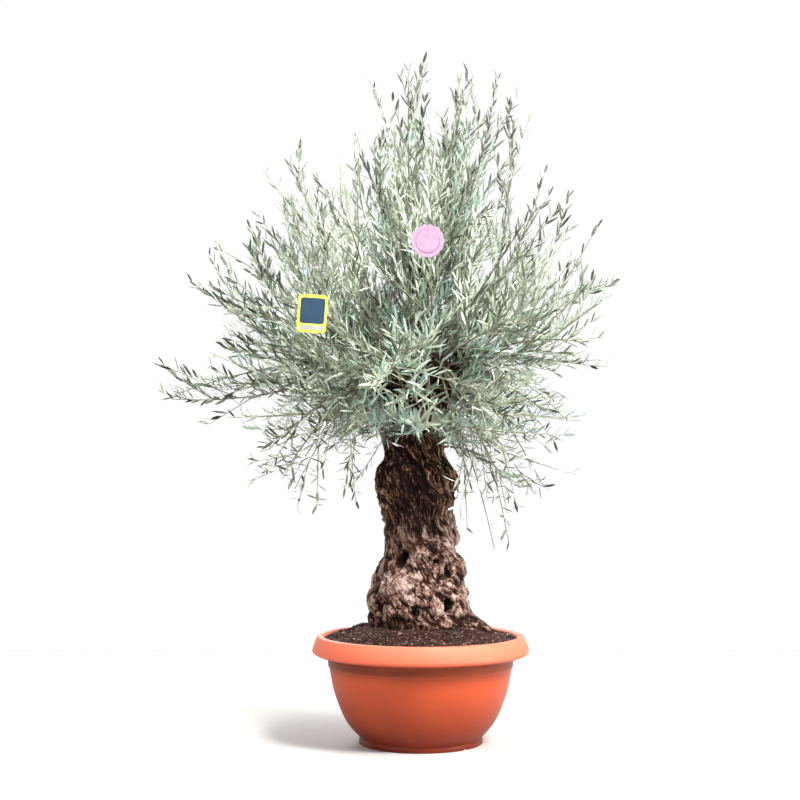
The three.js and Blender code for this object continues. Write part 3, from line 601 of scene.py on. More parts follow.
def through(stations, place, column):
    # a smooth value through stations: cubics whose slopes are those between the neighbours
    stations = np.array(stations, float)
    x, y = stations[:, 0], stations[:, column]
    low, high = np.maximum(np.arange(len(x)) - 1, 0), np.minimum(np.arange(len(x)) + 1, len(x) - 1)
    slope = (y[high] - y[low]) / (x[high] - x[low])
    place = np.clip(place, x[0], x[-1])
    i = np.clip(np.searchsorted(x, place) - 1, 0, len(x) - 2)
    span = x[i + 1] - x[i]
    t = (place - x[i]) / span
    start = (2 * t**3 - 3 * t**2 + 1) * y[i] + (t**3 - 2 * t**2 + t) * span * slope[i]
    return start + (3 * t**2 - 2 * t**3) * y[i + 1] + (t**3 - t**2) * span * slope[i + 1]


def allKnots():
    # the knots behind are dealt out round the back by a golden-ratio step
    knots = list(trunk["knots"])
    firstTurn, turnSpan = trunk["backTurns"]
    lowest, span = trunk["backHeights"]
    for i in range(trunk["backKnots"]):
        hollow = draw(7, i) < 0.3
        radius = trunk["backSize"] * (0.7 if hollow else 0.9 + 0.6 * draw(5, i))
        rise = (-1.9 if hollow else 1) * trunk["backRise"] * (1 + draw(9, i))
        knots.append((firstTurn + turnSpan * ((i * 0.618) % 1), lowest + span * draw(3, i), radius, rise))
    # small ones cover the foot evenly, by two steps that never fall into rows, and get lower upwards
    lowest, span = trunk["smallHeights"]
    for i in range(trunk["smallKnots"]):
        turn, rising = 360 * ((0.5 + 0.7549 * i) % 1), (0.5 + 0.5698 * i) % 1
        rise = trunk["smallRise"] * (1.2 - 0.7 * rising) * (-1.3 if draw(23, i) < 0.15 else 1 + draw(22, i))
        knots.append((turn, lowest + span * rising, trunk["smallSize"] + 13 * draw(21, i), rise))
    return knots


knotList = allKnots()


def trunkAxis(height):
    # sideways through its stations, and to the back as a sine of the height
    bow = trunk["depthBow"] * np.sin((height - trunk["cut"]) / trunk["bowHeight"])
    return through(trunk["stations"], height, 2), bow


def knotShape(turn, height, half):
    # each knot or hollow is a soft bell round its middle: the highest and the next to it, and the deepest
    first = np.zeros(np.broadcast(turn, height).shape)
    second, deepest = first.copy(), first.copy()
    for knotTurn, knotHeight, size, rise in knotList:
        across = np.abs(nearTurn(turn, knotTurn)) * half / size
        along = (height - knotHeight) / size
        bell = rise * np.exp(-((across**2 + along**2) ** 1.5))
        second = np.maximum(second, np.minimum(first, bell))
        first = np.maximum(first, bell)
        deepest = np.minimum(deepest, bell)
    return first, second, deepest


def trunkRadius(turn, height):
    # half width, seven and eleven winding flutes, a flare in five lobes at the foot with one root that
    # stands out, and the knots
    half = through(trunk["stations"], height, 1)
    shallow, gain = trunk["fluteDepth"]
    depth = shallow + gain * smoothStep(height, *trunk["fluteGain"])
    fade = 1 - smoothStep(height, *trunk["fluteEnd"])
    flutes = 0.6 * np.sin(7 * turn + height / 95) + 0.4 * np.sin(11 * turn - height / 140 + 1)
    foot = np.clip((trunk["flareTop"] - height) / (trunk["flareTop"] - trunk["cut"]), 0, 1) ** 2
    fromRoot = np.abs(nearTurn(turn, trunk["rootTurn"])) / math.radians(trunk["rootWidth"])
    lobes = trunk["lobeRise"] * foot * np.cos(5 * turn + 0.6)
    flare = lobes + trunk["rootRise"] * foot * np.exp(-(fromRoot**2))
    highest, _, deepest = knotShape(turn, height, half)
    return half + depth * fade * flutes + flare + highest + deepest


def barkRelief(points, knobby):
    # rounded knobs in two sizes, shifted by a slow warp, where knobby is 1, long winding cords where it
    # is 0, and flakes over both. The cords are the folds of a noise that is twisted round the wood and
    # drawn out along it. Returns the rise in millimetres and its share from 0 in a crease to 1 on a crest
    large, small = bark["knobSizes"]
    warp = np.stack([softNoise(points, large, 21 + k) for k in range(3)], axis=-1)
    swelling = 0.6 * knobs(points + 14 * warp, large, 31) + 0.45 * knobs(points + 8 * warp, small, 37) - 0.7
    twist = 0.0045 * points[..., 2] + 0.2 * warp[..., 0]
    x = points[..., 0] * np.cos(twist) - points[..., 1] * np.sin(twist)
    y = points[..., 0] * np.sin(twist) + points[..., 1] * np.cos(twist)
    turned = xyz(x, y, points[..., 2] * bark["stretch"])
    cords = 0
    for size, share in bark["cords"]:
        cords = cords + share * (1 - 3 * np.abs(softNoise(turned, size, 41 + size)))
    coarse, fine = bark["flakeSizes"]
    flakes = softNoise(points * [1, 1, 0.45], coarse, 51) + 0.5 * softNoise(points, fine, 53)
    rise = bark["knobRise"] * swelling * knobby + bark["cordRise"] * cords * (1 - 0.6 * knobby)
    shape = 0.5 * swelling * knobby + 0.3 * cords * (1 - 0.5 * knobby) + 0.12 * flakes
    return rise + bark["flakeRise"] * flakes, 0.5 + 0.2 * (shape - shape.mean()) / shape.std()


def barkMaterial():
    # old olive bark, weathered: greyish pink smooth knots with dark creases at the foot, dark brown
    # stringy cords above. The crest attribute carries the relief and painted shade in the hollows, seams
    # and dark places, so colour follows the shape
    material, shader, place = startMaterial("old olive bark", {"Roughness": 0.9, "Specular IOR Level": 0.15})
    crest = addNode(material, "Attribute", "Fac", {}, attribute_name="crest")

    def coloured(pattern, swing, colours):
        # a pattern moves the crest up and down by a swing, and a ramp turns the sum into bark colours
        swung = {"Value": pattern, "To Min": -swing, "To Max": swing}
        moved = {0: addNode(material, "MapRange", "Result", swung), 1: crest}
        tone = addNode(material, "Math", 0, moved, operation="ADD")
        return addNode(material, "ValToRGB", "Color", {0: tone}, bark[colours])

    along = addNode(material, "Mapping", 0, {"Vector": place, "Scale": (1, 1, bark["stretch"])})
    fibres = {"Vector": along, "Scale": 1000 / bark["fibreSize"], "Detail": 4, "Roughness": 0.65}
    fibre = addNode(material, "TexNoise", "Fac", fibres)
    specks = {"Vector": place, "Scale": 1000 / bark["speckSize"], "Detail": 5, "Roughness": 0.75}
    speck = addNode(material, "TexNoise", "Fac", specks)
    border = {"Vector": place, "Scale": 1000 / bark["wanderSize"], "Detail": 3}
    wander = addNode(material, "TexNoise", "Fac", border)
    height = addNode(material, "SeparateXYZ", "Z", {0: place})
    raised = addNode(material, "Math", 0, {0: wander, 1: 0.3, 2: height}, operation="MULTIPLY_ADD")
    low, high = (level / 1000 for level in bark["ageBand"])
    age = addNode(material, "MapRange", "Result", {"Value": raised, "From Min": low, "From Max": high})
    knobTone = coloured(speck, 0.5, "knobColours")
    cordTone = coloured(fibre, 0.8, "cordColours")
    colour = addNode(material, "Mix", 2, {0: age, 6: knobTone, 7: cordTone}, data_type="RGBA")
    both = addNode(material, "Math", 0, {0: fibre, 1: speck}, operation="ADD")
    return joinTo(material, shader, (both, 0.8, 4), colour=colour)


def makeTrunk(wood):
    # rings round the leaning axis, at the trunk's radius with the bark's relief added along it
    height = np.linspace(trunk["foot"], trunk["top"], trunk["rings"])[:, None]
    turn = turns(trunk["around"])[None]
    axisX, axisY = trunkAxis(height)

    def ringsAt(radius):
        return xyz(axisX + radius * np.cos(turn), axisY + radius * np.sin(turn), height)

    radius = trunkRadius(turn, height)
    place = ringsAt(radius)
    knobby = 1 - smoothStep(height + 90 * softNoise(place, 90, 61), *trunk["knobEnd"])
    rise, crest = barkRelief(place, knobby)
    # knots are pale and smoother, the seams where two of them meet are dark with dirt and painted shade,
    # and the hollows get darker the deeper they are, with ragged edges, as painted shade
    ragged = 9 * softNoise(place, 22, 71) + 6 * softNoise(place, 9, 73)
    half = through(trunk["stations"], height, 1)
    first, second, deepest = knotShape(turn + ragged / half, height - 0.8 * ragged, half)
    calm = 1 - trunk["knotCalm"] * smoothStep(first, 8, 20)
    radius = radius + calm * rise * np.minimum(1, radius / 60)
    seam = (second / np.maximum(first, 4)) ** 3
    crest = 0.5 + calm * (crest - 0.5) + knobby * (0.005 * (first - 10) - 0.3 * seam)
    # painted shade in the hollows, darker the deeper they are
    crest = crest + 0.03 * np.minimum(deepest + 7, 0)
    # painted shade: the bark darkens round each of these places
    for shadeTurn, shadeHeight, shadeRadius, darker in trunk["shadePatches"]:
        away = (nearTurn(turn, shadeTurn) * half) ** 2 + (height - shadeHeight) ** 2
        crest = crest - darker * np.exp(-away / shadeRadius**2)
    low, high, darker = trunk["splash"]
    crest = crest - darker * (1 - smoothStep(height, low, high))
    crest = np.concatenate([np.clip(crest, 0.1, 1).ravel(), [0.2, 0.2]])
    piece = addTubes("bark_trunk", ringsAt(radius)[None], [wood], attributes={"crest": crest})
    finishPiece(piece, "bark", "trunk")


def direction(turn, slope):
    # a unit vector from a turn round the upright axis and a slope above level, in degrees
    turn, slope = np.radians(turn), np.radians(slope)
    return xyz(np.cos(slope) * np.cos(turn), np.cos(slope) * np.sin(turn), np.sin(slope))


def levelAcross(tangent):
    # the level direction across a limb, or a fixed one where the limb stands upright
    across = np.cross(tangent, up)
    upright = np.linalg.norm(across, axis=-1, keepdims=True) < 0.05
    return unit(np.where(upright, np.cross([0.0, -1.0, 0.0], tangent), across))


def boughPath(name, shares):
    # a smooth curve through four marks: one in the head, a bent and sagging one, a straight one, and the
    # tip; cubics with steps that go with the square root of the distance between marks
    length = boughs[name]["length"]
    way = direction(boughs[name]["turn"], boughs[name]["slope"])
    bend = boughShape["bend"] * (draw(list(boughs).index(name) + 1, 1) - 0.5)
    marks = [
        head + way * length * boughShape["hidden"],
        head + way * length * 0.45 + levelAcross(way) * bend - up * boughShape["sag"],
        head + way * length * 0.75,
        head + way * length,
    ]
    marks = np.array([2 * marks[0] - marks[1], *marks, 2 * marks[3] - marks[2]])
    shares = np.asarray(shares, float)
    i = np.minimum((shares * 3).astype(int), 2)
    t = (shares * 3 - i)[..., None]
    p0, p1, p2, p3 = (marks[i + k] for k in range(4))
    spans = (p1 - p0, p2 - p1, p3 - p2)
    d0, d1, d2 = (np.sqrt(np.linalg.norm(span, axis=-1, keepdims=True)) for span in spans)
    m1 = ((p1 - p0) / d0 - (p2 - p0) / (d0 + d1) + (p2 - p1) / d1) * d1
    m2 = ((p2 - p1) / d1 - (p3 - p1) / (d1 + d2) + (p3 - p2) / d2) * d1
    return p1 + m1 * t + (3 * (p2 - p1) - 2 * m1 - m2) * t**2 + (2 * (p1 - p2) + m1 + m2) * t**3


def knuckleShare(name):
    # the knuckle's radius as a share of the bough outside the head
    return boughs[name]["knuckle"] / (boughs[name]["length"] * (1 - boughShape["hidden"]))


def hubShare(name):
    # where along a bough the middle of its knuckle lies
    return 1 - 0.9 * knuckleShare(name)


def ringsAlong(paths, radii, sides):
    # a round section carried along each path: across times cosine plus over times sine of the turn.
    # Returns the rings and the way out at each of their points
    tangent = unit(np.gradient(paths, axis=1))
    across = levelAcross(tangent)
    over = np.cross(tangent, across)
    turn = turns(sides)[:, None]
    section = across[:, :, None] * np.cos(turn) + over[:, :, None] * np.sin(turn)
    return paths[:, :, None] + section * radii[..., None, None], section


def makeBoughs(wood):
    # each bough tapers and swells into a round knuckle at its tip; a stub is cut off flat
    shares = np.concatenate([np.linspace(0, 0.8, 50), 1 - 0.2 * np.linspace(1, 0, 34)[1:] ** 1.5])
    paths, radii = [], []
    for name, bough in boughs.items():
        fromHub = (shares - hubShare(name)) / knuckleShare(name)
        ball = bough["knuckle"] * np.sqrt(np.maximum(0.03, 1 - fromHub**2))
        taper = bough["base"] + (bough["tip"] - bough["base"]) * shares
        paths.append(boughPath(name, shares))
        radii.append(np.where(fromHub < 0, np.maximum(ball, taper), ball))
    for turn, slope, length, radius in stubs:
        paths.append(head + direction(turn, slope) * length * np.minimum(shares * 1.04, 1)[:, None])
        radii.append(radius * (1.12 - 0.12 * shares) * np.where(shares < 0.975, 1, 0.9))
    rings, section = ringsAlong(np.array(paths), np.array(radii), 60)
    rise, crest = barkRelief(rings, 0.35 + 0 * rings[..., 0])
    thin = np.minimum(1, np.array(radii)[..., None] / 40)
    rings = rings + section * (rise * 0.75 * thin)[..., None]
    crest = np.concatenate([np.clip(crest - 0.14, 0, 1).ravel(), np.full(2 * len(rings), 0.4)])
    piece = addTubes("bark_boughs", rings, [wood], attributes={"crest": crest})
    finishPiece(piece, "bark", *["bough_" + name for name in boughs])


oldBark = barkMaterial()
makeTrunk(oldBark)
makeBoughs(oldBark)
print("stage: trunk and boughs")


# The crown

# each mass of foliage: the limb that carries it, the tip of its stem, how far the stem arches up, and
# the share of its side shoots that it keeps
masses = {
    "top_left": ("leader", (-40, -120, 2240), 0, 0.7),
    "top_middle": ("leader", (150, 190, 2228), 0, 0.8),
    "top_right": ("leader", (268, -120, 2205), 0, 0.45),
    "top_back": ("leader", (-70, 390, 2070), 10, 1.0),
    "top_front": ("leader", (-90, -330, 1990), 20, 0.5),
    "upper_left": ("leader", (-240, 105, 2048), 20, 0.4),
    "left_high": ("left", (-450, -70, 1935), 0, 0.6),
    "left_upper": ("left", (-712, 40, 1650), 40, 0.2),
    "left_middle": ("left", (-690, -130, 1400), 90, 0.35),
    "left_low": ("left", (-862, 0, 1118), 120, 0.15),
    "left_back": ("left", (-600, 240, 1180), 110, 1.0),
    "right_high": ("right", (455, 40, 1845), 0, 0.4),
    "right_upper": ("right", (636, -40, 1512), 50, 0.25),
    "right_middle": ("right", (590, -190, 1290), 80, 0.25),
    "right_low": ("right", (500, 60, 1030), 90, 0.1),
    "front_left_high": ("front_left", (-280, -430, 1780), 0, 0.45),
    "front_left": ("front_left", (-460, -480, 1400), 60, 1.0),
    "front_left_low": ("front_left", (-440, -300, 800), 170, 0.2),
    "front_low": ("front_left", (-130, -560, 1120), 70, 1.0),
    "front_high": ("front_right", (60, -450, 1790), 0, 1.0),
    "front_right_high": ("front_right", (350, -400, 1690), 20, 0.35),
    "front_right": ("front_right", (350, -520, 1340), 70, 1.0),
    "front_right_low": ("front_right", (300, -400, 1000), 90, 0.3),
    "back_left_high": ("back_left", (-270, 430, 1800), 0, 1.0),
    "back_left": ("back_left", (-470, 470, 1420), 60, 1.0),
    "back_left_low": ("back_left", (-300, 560, 1060), 90, 1.0),
    "back_right_high": ("back_right", (230, 460, 1790), 0, 1.0),
    "back_right": ("back_right", (470, 410, 1410), 60, 1.0),
    "back_right_low": ("back_right", (240, 560, 1080), 90, 1.0),
    "low_right": ("trunk", (322, -40, 596), 420, 0.5),
    "low_back": ("trunk", (-90, 400, 830), 300, 1.0),
}
# thinner stems that stand between the others, by the mass that they belong to: the tip, the arch, which
# is below 0 for a stem that sets out level and then turns up, and the share of side shoots
moreStems = {
    "top_left": [((-10, -60, 2232), 0, 0.3)],
    "top_middle": [((140, -40, 2236), 0, 0.3), ((50, -110, 2000), 0, 1.0), ((85, 40, 2050), 0, 0.9)],
    "top_right": [((155, -80, 2040), 0, 1.0), ((195, -110, 1930), 0, 0.9), ((325, -60, 1900), -150, 0.6)],
    "upper_left": [((-165, -60, 2010), 0, 0.7), ((-150, -120, 1935), 0, 0.7)],
    "right_high": [((318, -50, 2080), -170, 0.6), ((498, -60, 1762), -240, 0.9)],
    "right_upper": [((622, -60, 1450), -120, 0.9)],
    "right_middle": [((530, -100, 1262), 30, 0.9)],
    "left_high": [
        ((-590, -80, 1625), -180, 0.9), ((-430, -110, 1760), -80, 1.0), ((-335, -60, 1800), 0, 0.9),
    ],
    "left_upper": [((-745, -60, 1620), -270, 0.8)],
    "left_middle": [((-640, -130, 1320), -60, 0.4)],
    "left_low": [((-870, -40, 1100), -90, 0.7), ((-700, -60, 1150), -40, 0.6)],
    "front_left_low": [
        ((-530, -190, 910), 60, 0.8), ((-470, -220, 830), 90, 0.9), ((-430, -240, 775), 110, 0.9),
    ],
    "right_low": [((425, -110, 775), 30, 0.3), ((385, -100, 1000), 40, 0.8)],
    "front_right_low": [
        ((385, -200, 765), 30, 0.7), ((300, -290, 745), 30, 0.6), ((165, -290, 770), 40, 0.5),
    ],
    "low_right": [((268, -80, 575), 400, 0.6)],
}
# every kind of shoot has the radii of its tubes at base and tip and the sides of a tube, and for its
# leaves the bare stretch at its foot, the spacing of the pairs, and how large they are
stem = {
    "middle": 0.42, "fan": 130, "bow": 60, "tipReach": 60, "points": 14,
    "seat": 60,  # mm from the hub of the trunk to a stem's root, where a bough has its knuckle
    "base": 4.6, "tip": 1.0, "sides": 8, "bare": 190, "spacing": 20, "larger": 1.0, "slot": "bark",
}
# side shoots: how many on a parent, the stretch of it that they take, their length and how it falls off
# towards the parent's tip, how far they open at its foot and at its tip, how much they turn up, and the
# shortest that is kept. A thousand times the seed is where the numbers that tell their colours begin
twig = {
    "count": 12, "first": 0.08, "last": 0.92, "length": 330, "fallOff": 0.6, "open": 50, "close": 20,
    "lift": 0.25, "least": 50, "seed": 3, "points": 8,
    "base": 2.6, "tip": 0.8, "sides": 5, "bare": 30, "spacing": 26, "larger": 1.0, "slot": "foliage",
}
spray = {
    "count": 5, "first": 0.1, "last": 0.8, "length": 150, "fallOff": 0.45, "open": 46, "close": 24,
    "lift": 0.15, "least": 40, "seed": 5, "points": 5,
    "thinning": (0.3, 0.6),  # how far out, in crown radii, they begin to thin and where they end
    "base": 1.3, "tip": 0.7, "sides": 3, "bare": 16, "spacing": 26, "larger": 1.0, "slot": "foliage",
}
headSpray = {**spray, "seed": 8, "base": 1.7, "tip": 0.8, "larger": 1.1}
headShoot = {
    "perBough": 15, "onHead": 56, "length": 320, "droop": 0.42, "seed": 9, "points": 8,
    "lowest": 955, "span": 190,  # the heights on the trunk that they break from
    "base": 3.0, "tip": 1.0, "sides": 5, "bare": 60, "spacing": 26, "larger": 1.15, "slot": "bark",
}
# dark and pale colour of the bark of stems and of young shoots, and the width of its specks
shootBarks = {"bark": ("#4d463b", "#807b6a", 6.25), "foliage": ("#666a56", "#989b85", 4.167)}
crown = {
    "heart": np.array([-18.0, 0.0, 1330.0]),
    "radius": 720,
    "past": 26,  # mm that leaves may stand past the box of the solids
    "pastTip": 12,  # mm that leaves may stand past the plane across their stem's tip
    "spared": 20,  # mm that shoots end before that plane
    # where the leaves stand open, and a dark bough or the sky shows: middle across, height, half width
    # and height, and how far back from the front it goes
    "openings": [(-66, 1165, 34, 36, -60), (84, 1190, 44, 36, -60), (172, 975, 36, 42, 400)],
    "openingShare": 0.15,  # of the leaves there that stay
}
leaf = {
    "length": 54, "width": 6.6, "outerWidth": 11.6, "ridge": 0.9,
    "angle": 44, "tipAngle": 30, "sway": 16, "lift": 1.0,
    # colours from the dark outer shoots to the pale middle, as painted light and shade, and last the cool
    # green of a few
    "tints": ["#222a1a", "#3b4633", "#6d7965", "#a0ab98", "#c1cab9", "#d9e0d2", "#93aa9d"],
    "unders": ["#7a8572", "#abb5a3", "#d4dacf", "#e7ece3"],
    "coolShare": 0.1,
    "headCoolShare": 0.4,
    # the shoots over the head get no paler tint than this, as painted shade under the crown
    "headPalest": 2.9,  # the palest tint of the shoots that droop over the head
    "grainSize": 1.429,  # mm, coarser than the real pebbling
}
# each label: middle, half width and height, tilt in degrees, and the mass whose stem holds it
labelPlaces = {
    "round": ((16, -420, 1570), (51, 51), 0, "front_high"),
    "card": ((-330, -425, 1350), (44, 57), 4, "front_left"),
}
labelRoom = 14  # mm kept clear of leaves round a label

stemRows = [(name, *row[1:]) for name, row in masses.items()]
stemRows += [(name, *row) for name, rows in moreStems.items() for row in rows]
stemMasses = [row[0] for row in stemRows]
stemSources = np.array([masses[name][0] for name in stemMasses])
stemTips, stemArches, stemFullness = (np.array(column, float) for column in list(zip(*stemRows))[1:])


def outwardness(points, depth=1.0):
    # 0 at the heart of the crown, 1 on a flattened ball of the crown's radius round it
    return np.linalg.norm((points - crown["heart"]) * [1, depth, 0.85], axis=-1) / crown["radius"]


def aside(points):
    # how far from the middle of the crown a point looks from the front: 0 in the middle, 1 at the edge
    return outwardness(points, 0.5)


def hubOf(source):
    # the point that a limb's stems fan out from: the middle of its knuckle, or a place in the head
    return head - up * 30 if source == "trunk" else boughPath(source, hubShare(source))


def seatOf(source):
    # how far from its hub a stem's root lies
    return stem["seat"] if source == "trunk" else 0.7 * boughs[source]["knuckle"]


def stemPaths():
    # each stem starts in its knuckle, fans away from the stems beside it, bows out where it is steep,
    # and ends a leafy tip short of the tip of its mass: a quadratic curve through one control point.
    # The stems that stand between don't fan out
    hubs = np.array([hubOf(source) for source in stemSources])
    toward = unit(stemTips - hubs)
    first = np.arange(len(stemTips)) < len(masses)
    mean = np.array([toward[first & (stemSources == source)].mean(axis=0) for source in stemSources])
    start = hubs + toward * np.array([seatOf(source) for source in stemSources])[:, None]
    span = stemTips - start
    length = np.linalg.norm(span, axis=1, keepdims=True)
    span = span * (length - stem["tipReach"]) / length
    steep = np.maximum(0, span[:, 2:] / np.linalg.norm(span, axis=1, keepdims=True))
    outward = unit(span * [1, 1, 0])
    control = start + span * stem["middle"] + up * stemArches[:, None] + outward * stem["bow"] * steep**2
    control = control + np.where(first[:, None], toward - mean, 0) * stem["fan"]
    t = np.linspace(0, 1, stem["points"])[None, :, None]
    start, control, end = start[:, None], control[:, None], (start + span)[:, None]
    return (1 - t) ** 2 * start + 2 * t * (1 - t) * control + t**2 * end


def pointOn(paths, shares):
    # the point and the way at each share of each path: paths (n, k, 3), shares (n, m)
    last = paths.shape[1] - 1
    i = np.clip((shares * last).astype(int), 0, last - 1)
    row = np.arange(len(paths))[:, None]
    low, high = paths[row, i], paths[row, i + 1]
    return low + (high - low) * (shares * last - i)[..., None], unit(high - low)


def wayOut(tangent, quarter, angle):
    # the way that leaves a limb on one side, so many quarter turns round, opened by an angle
    across = levelAcross(tangent)
    over = np.cross(tangent, across)
    turn = ((quarter + 0.5) * fullTurn / 4)[..., None]
    side = across * np.cos(turn) + over * np.sin(turn)
    return tangent * np.cos(angle)[..., None] + side * np.sin(angle)[..., None]


def clearOfWood(points, room):
    # true where a point stands outside the trunk, the boughs and the soil by so much room
    height = points[..., 2]
    axisX, axisY = trunkAxis(height)
    x, y = points[..., 0] - axisX, points[..., 1] - axisY
    inTrunk = (np.hypot(x, y) < trunkRadius(np.arctan2(y, x), height) + room) & (height < trunk["top"] - 10)
    clear = ~inTrunk & (height > 400)
    for name, bough in boughs.items():
        line = boughPath(name, np.array([0.2, 0.6, 1.0]))
        for a, b in zip(line[:-1], line[1:]):
            share = np.clip(((points - a) @ (b - a)) / ((b - a) @ (b - a)), 0, 1)
            near = np.linalg.norm(points - a - share[..., None] * (b - a), axis=-1)
            clear &= near > 0.92 * bough["base"] + room
    return clear


def within(points, x, z, wide, tall, back):
    # true in front of a place, as seen from the front, up to so far back
    beside = (np.abs(points[..., 0] - x) < wide) & (np.abs(points[..., 2] - z) < tall)
    return beside & (points[..., 1] < back)


def clearOfLabels(points):
    # nothing grows through a label, nor in front of it
    clear = np.ones(points.shape[:-1], bool)
    for (x, y, z), (wide, high), *_ in labelPlaces.values():
        clear &= ~within(points, x, z, wide + labelRoom, high + labelRoom, y + labelRoom)
    return clear


def shutIn(points, key):
    # true where a leaf may stand: inside the box of the solids, and, but for a few, out of the openings
    low, high = (1000 * np.array(corner) for corner in cadBox)
    inside = ((points > low - crown["past"]) & (points < high + crown["past"])).all(axis=-1)
    for opening in crown["openings"]:
        inside &= ~within(points, *opening) | (draw(key, 21) < crown["openingShare"])
    return inside


def beforeTip(points, carrier):
    # how far points are from the plane across the tip of the stem that carries them
    return ((stemTips[carrier] - points) * tipWays[carrier]).sum(axis=-1)


def roomToTip(start, way, carrier):
    # how far a shoot may go along its way before it meets that plane, less what is spared
    reach = np.maximum(beforeTip(start, carrier) - crown["spared"], 0)
    return reach / np.maximum((way * tipWays[carrier]).sum(axis=-1), 0.25)


def grow(start, way, length, bend, points):
    # a shoot's path: straight along its way, with a bend that grows with the square of the distance
    t = np.linspace(0, 1, points)[None, :, None]
    return start[:, None] + length[:, None, None] * (way[:, None] * t + bend[:, None] * t**2)


def shootSet(keep, paths, length, carrier, rule):
    # the shoots that are kept, with how strong each is, and a number that tells its colour
    return {
        "path": paths[keep],
        "length": length[keep],
        "carrier": carrier[keep],
        "vigour": np.clip(length[keep] / rule["length"], 0.4, 1),
        "tint": np.flatnonzero(keep) + 1000 * rule["seed"],
    }


def sideShoots(parents, rule):
    # side shoots take each side of their parent in turn, open less towards its tip, get shorter there,
    # and lift to the light; one that would enter wood or hide a label is left out
    count, seed = rule["count"], rule["seed"]
    own = np.arange(len(parents["path"]))[:, None]
    index = np.arange(count)[None]
    stagger = 0.7 * (draw(own + seed, index + 3) - 0.5)
    share = rule["first"] + (rule["last"] - rule["first"]) * (index + 0.5 + stagger) / count
    start, tangent = pointOn(parents["path"], share)
    opening = rule["open"] + (rule["close"] - rule["open"]) * share + 14 * (draw(own, index + seed) - 0.5)
    quarter = np.array([0, 2, 1, 3])[(index + own) % 4] + 0.8 * (draw(own + 2 * seed, index) - 0.5)
    way = unit(wayOut(tangent, quarter, np.radians(opening)) + up * rule["lift"])
    length = rule["length"] * (0.7 + 0.6 * draw(own + seed + 1, index)) * (1 - rule["fallOff"] * share**2)
    length = length * parents["vigour"][:, None]
    carrier = np.repeat(parents["carrier"], count)
    start, way, length = start.reshape(-1, 3), way.reshape(-1, 3), length.ravel()
    length = np.minimum(length, roomToTip(start, way, carrier))
    key = np.arange(len(length))
    sideways = np.cross(way, up) * (0.24 * (draw(key + seed, 5) - 0.5))[:, None]
    bend = sideways + up * (0.22 * (draw(key + seed, 6) - 0.35))[:, None]
    ends = start + way * length[:, None] * 0.9
    middles = start + way * length[:, None] * 0.5
    paths = grow(start, way, length, bend, rule["points"])
    keep = (length > rule["least"]) & clearOfWood(ends, 6) & clearOfWood(middles, 2)
    keep &= clearOfLabels(paths).all(axis=1)
    if "thinning" in rule:
        keep &= draw(key, seed + 8) > smoothStep(outwardness(start), *rule["thinning"])
    else:
        keep &= draw(key, seed + 9) < stemFullness[carrier]
    return shootSet(keep, paths, length, carrier, rule)


def shootsFromHead():
    # short shoots that break from the boughs and the old head on all sides, and droop over it
    starts, ways, lengths, carriers = [], [], [], []
    golden = 2.399963
    i = np.arange(headShoot["perBough"])
    for b, (name, bough) in enumerate(boughs.items()):
        point = boughPath(name, 0.22 + 0.72 * (i + 0.5) / len(i))
        tangent = np.repeat(direction(bough["turn"], bough["slope"])[None], len(i), axis=0)
        across = levelAcross(tangent)
        over = np.cross(tangent, across)
        around = (golden * i + b)[:, None]
        radial = across * np.cos(around) + over * np.sin(around)
        starts.append(point + radial * 0.6 * bough["tip"])
        ways.append(unit(radial + tangent * 0.55 + unit(point - head) * 0.35))
        lengths.append(headShoot["length"] * (0.45 + 0.75 * draw(b + 70, i)))
        carried = np.flatnonzero(stemSources == name)
        carriers.append(carried[i % len(carried)])
    i = np.arange(headShoot["onHead"])
    around = golden * i
    height = headShoot["lowest"] + headShoot["span"] * ((i * 0.618) % 1)
    axisX, axisY = trunkAxis(height)
    radial = xyz(np.cos(around), np.sin(around), 0)
    reach = trunkRadius(around % fullTurn, height) - 8
    starts.append(xyz(axisX, axisY, height) + radial * reach[:, None])
    ways.append(unit(radial + up * (0.6 * draw(91, i))[:, None] + 0.35 * (direction(360 * draw(92, i), 0))))
    lengths.append(headShoot["length"] * (0.4 + 0.5 * draw(93, i)))
    carriers.append(np.full(len(i), stemMasses.index("front_low")))
    start, way, length, carrier = (np.concatenate(v) for v in (starts, ways, lengths, carriers))
    bend = -up * (headShoot["droop"] * (0.3 + 1.2 * draw(np.arange(len(length)), 95)))[:, None]
    paths = grow(start, way, length, bend, headShoot["points"])
    keep = clearOfWood(paths[:, 4], 4) & clearOfLabels(paths).all(axis=1)
    return shootSet(keep, paths, length, carrier, headShoot)


stemSet = {
    "path": stemPaths(),
    "carrier": np.arange(len(stemRows)),
    "vigour": np.ones(len(stemRows)),
    "tint": np.arange(len(stemRows)),
}
stemSet["length"] = np.linalg.norm(np.diff(stemSet["path"], axis=1), axis=-1).sum(axis=1)
tipWays = unit(stemSet["path"][:, -1] - stemSet["path"][:, -2])
headSet = shootsFromHead()
twigSet = sideShoots(stemSet, twig)
shootSets = {
    "stems": (stemSet, stem),
    "head": (headSet, headShoot),
    "twigs": (twigSet, twig),
    "sprays": (sideShoots(twigSet, spray), spray),
    "head_sprays": (sideShoots(headSet, headSpray), headSpray),
}


def shootMaterial(name, dark, pale, grainSize):
    # young olive shoots: thin smooth bark with a grey bloom and small dark lenticels
    material, shader, place = startMaterial(name, {"Roughness": 0.75, "Specular IOR Level": 0.3})
    grain = {"Vector": place, "Scale": 1000 / grainSize, "Detail": 3}
    tone = addNode(material, "TexNoise", "Fac", grain)
    colour = addNode(material, "ValToRGB", "Color", {0: tone}, [(0.35, dark), (0.65, pale)])
    return joinTo(material, shader, (tone, 0.4, 1), colour=colour)


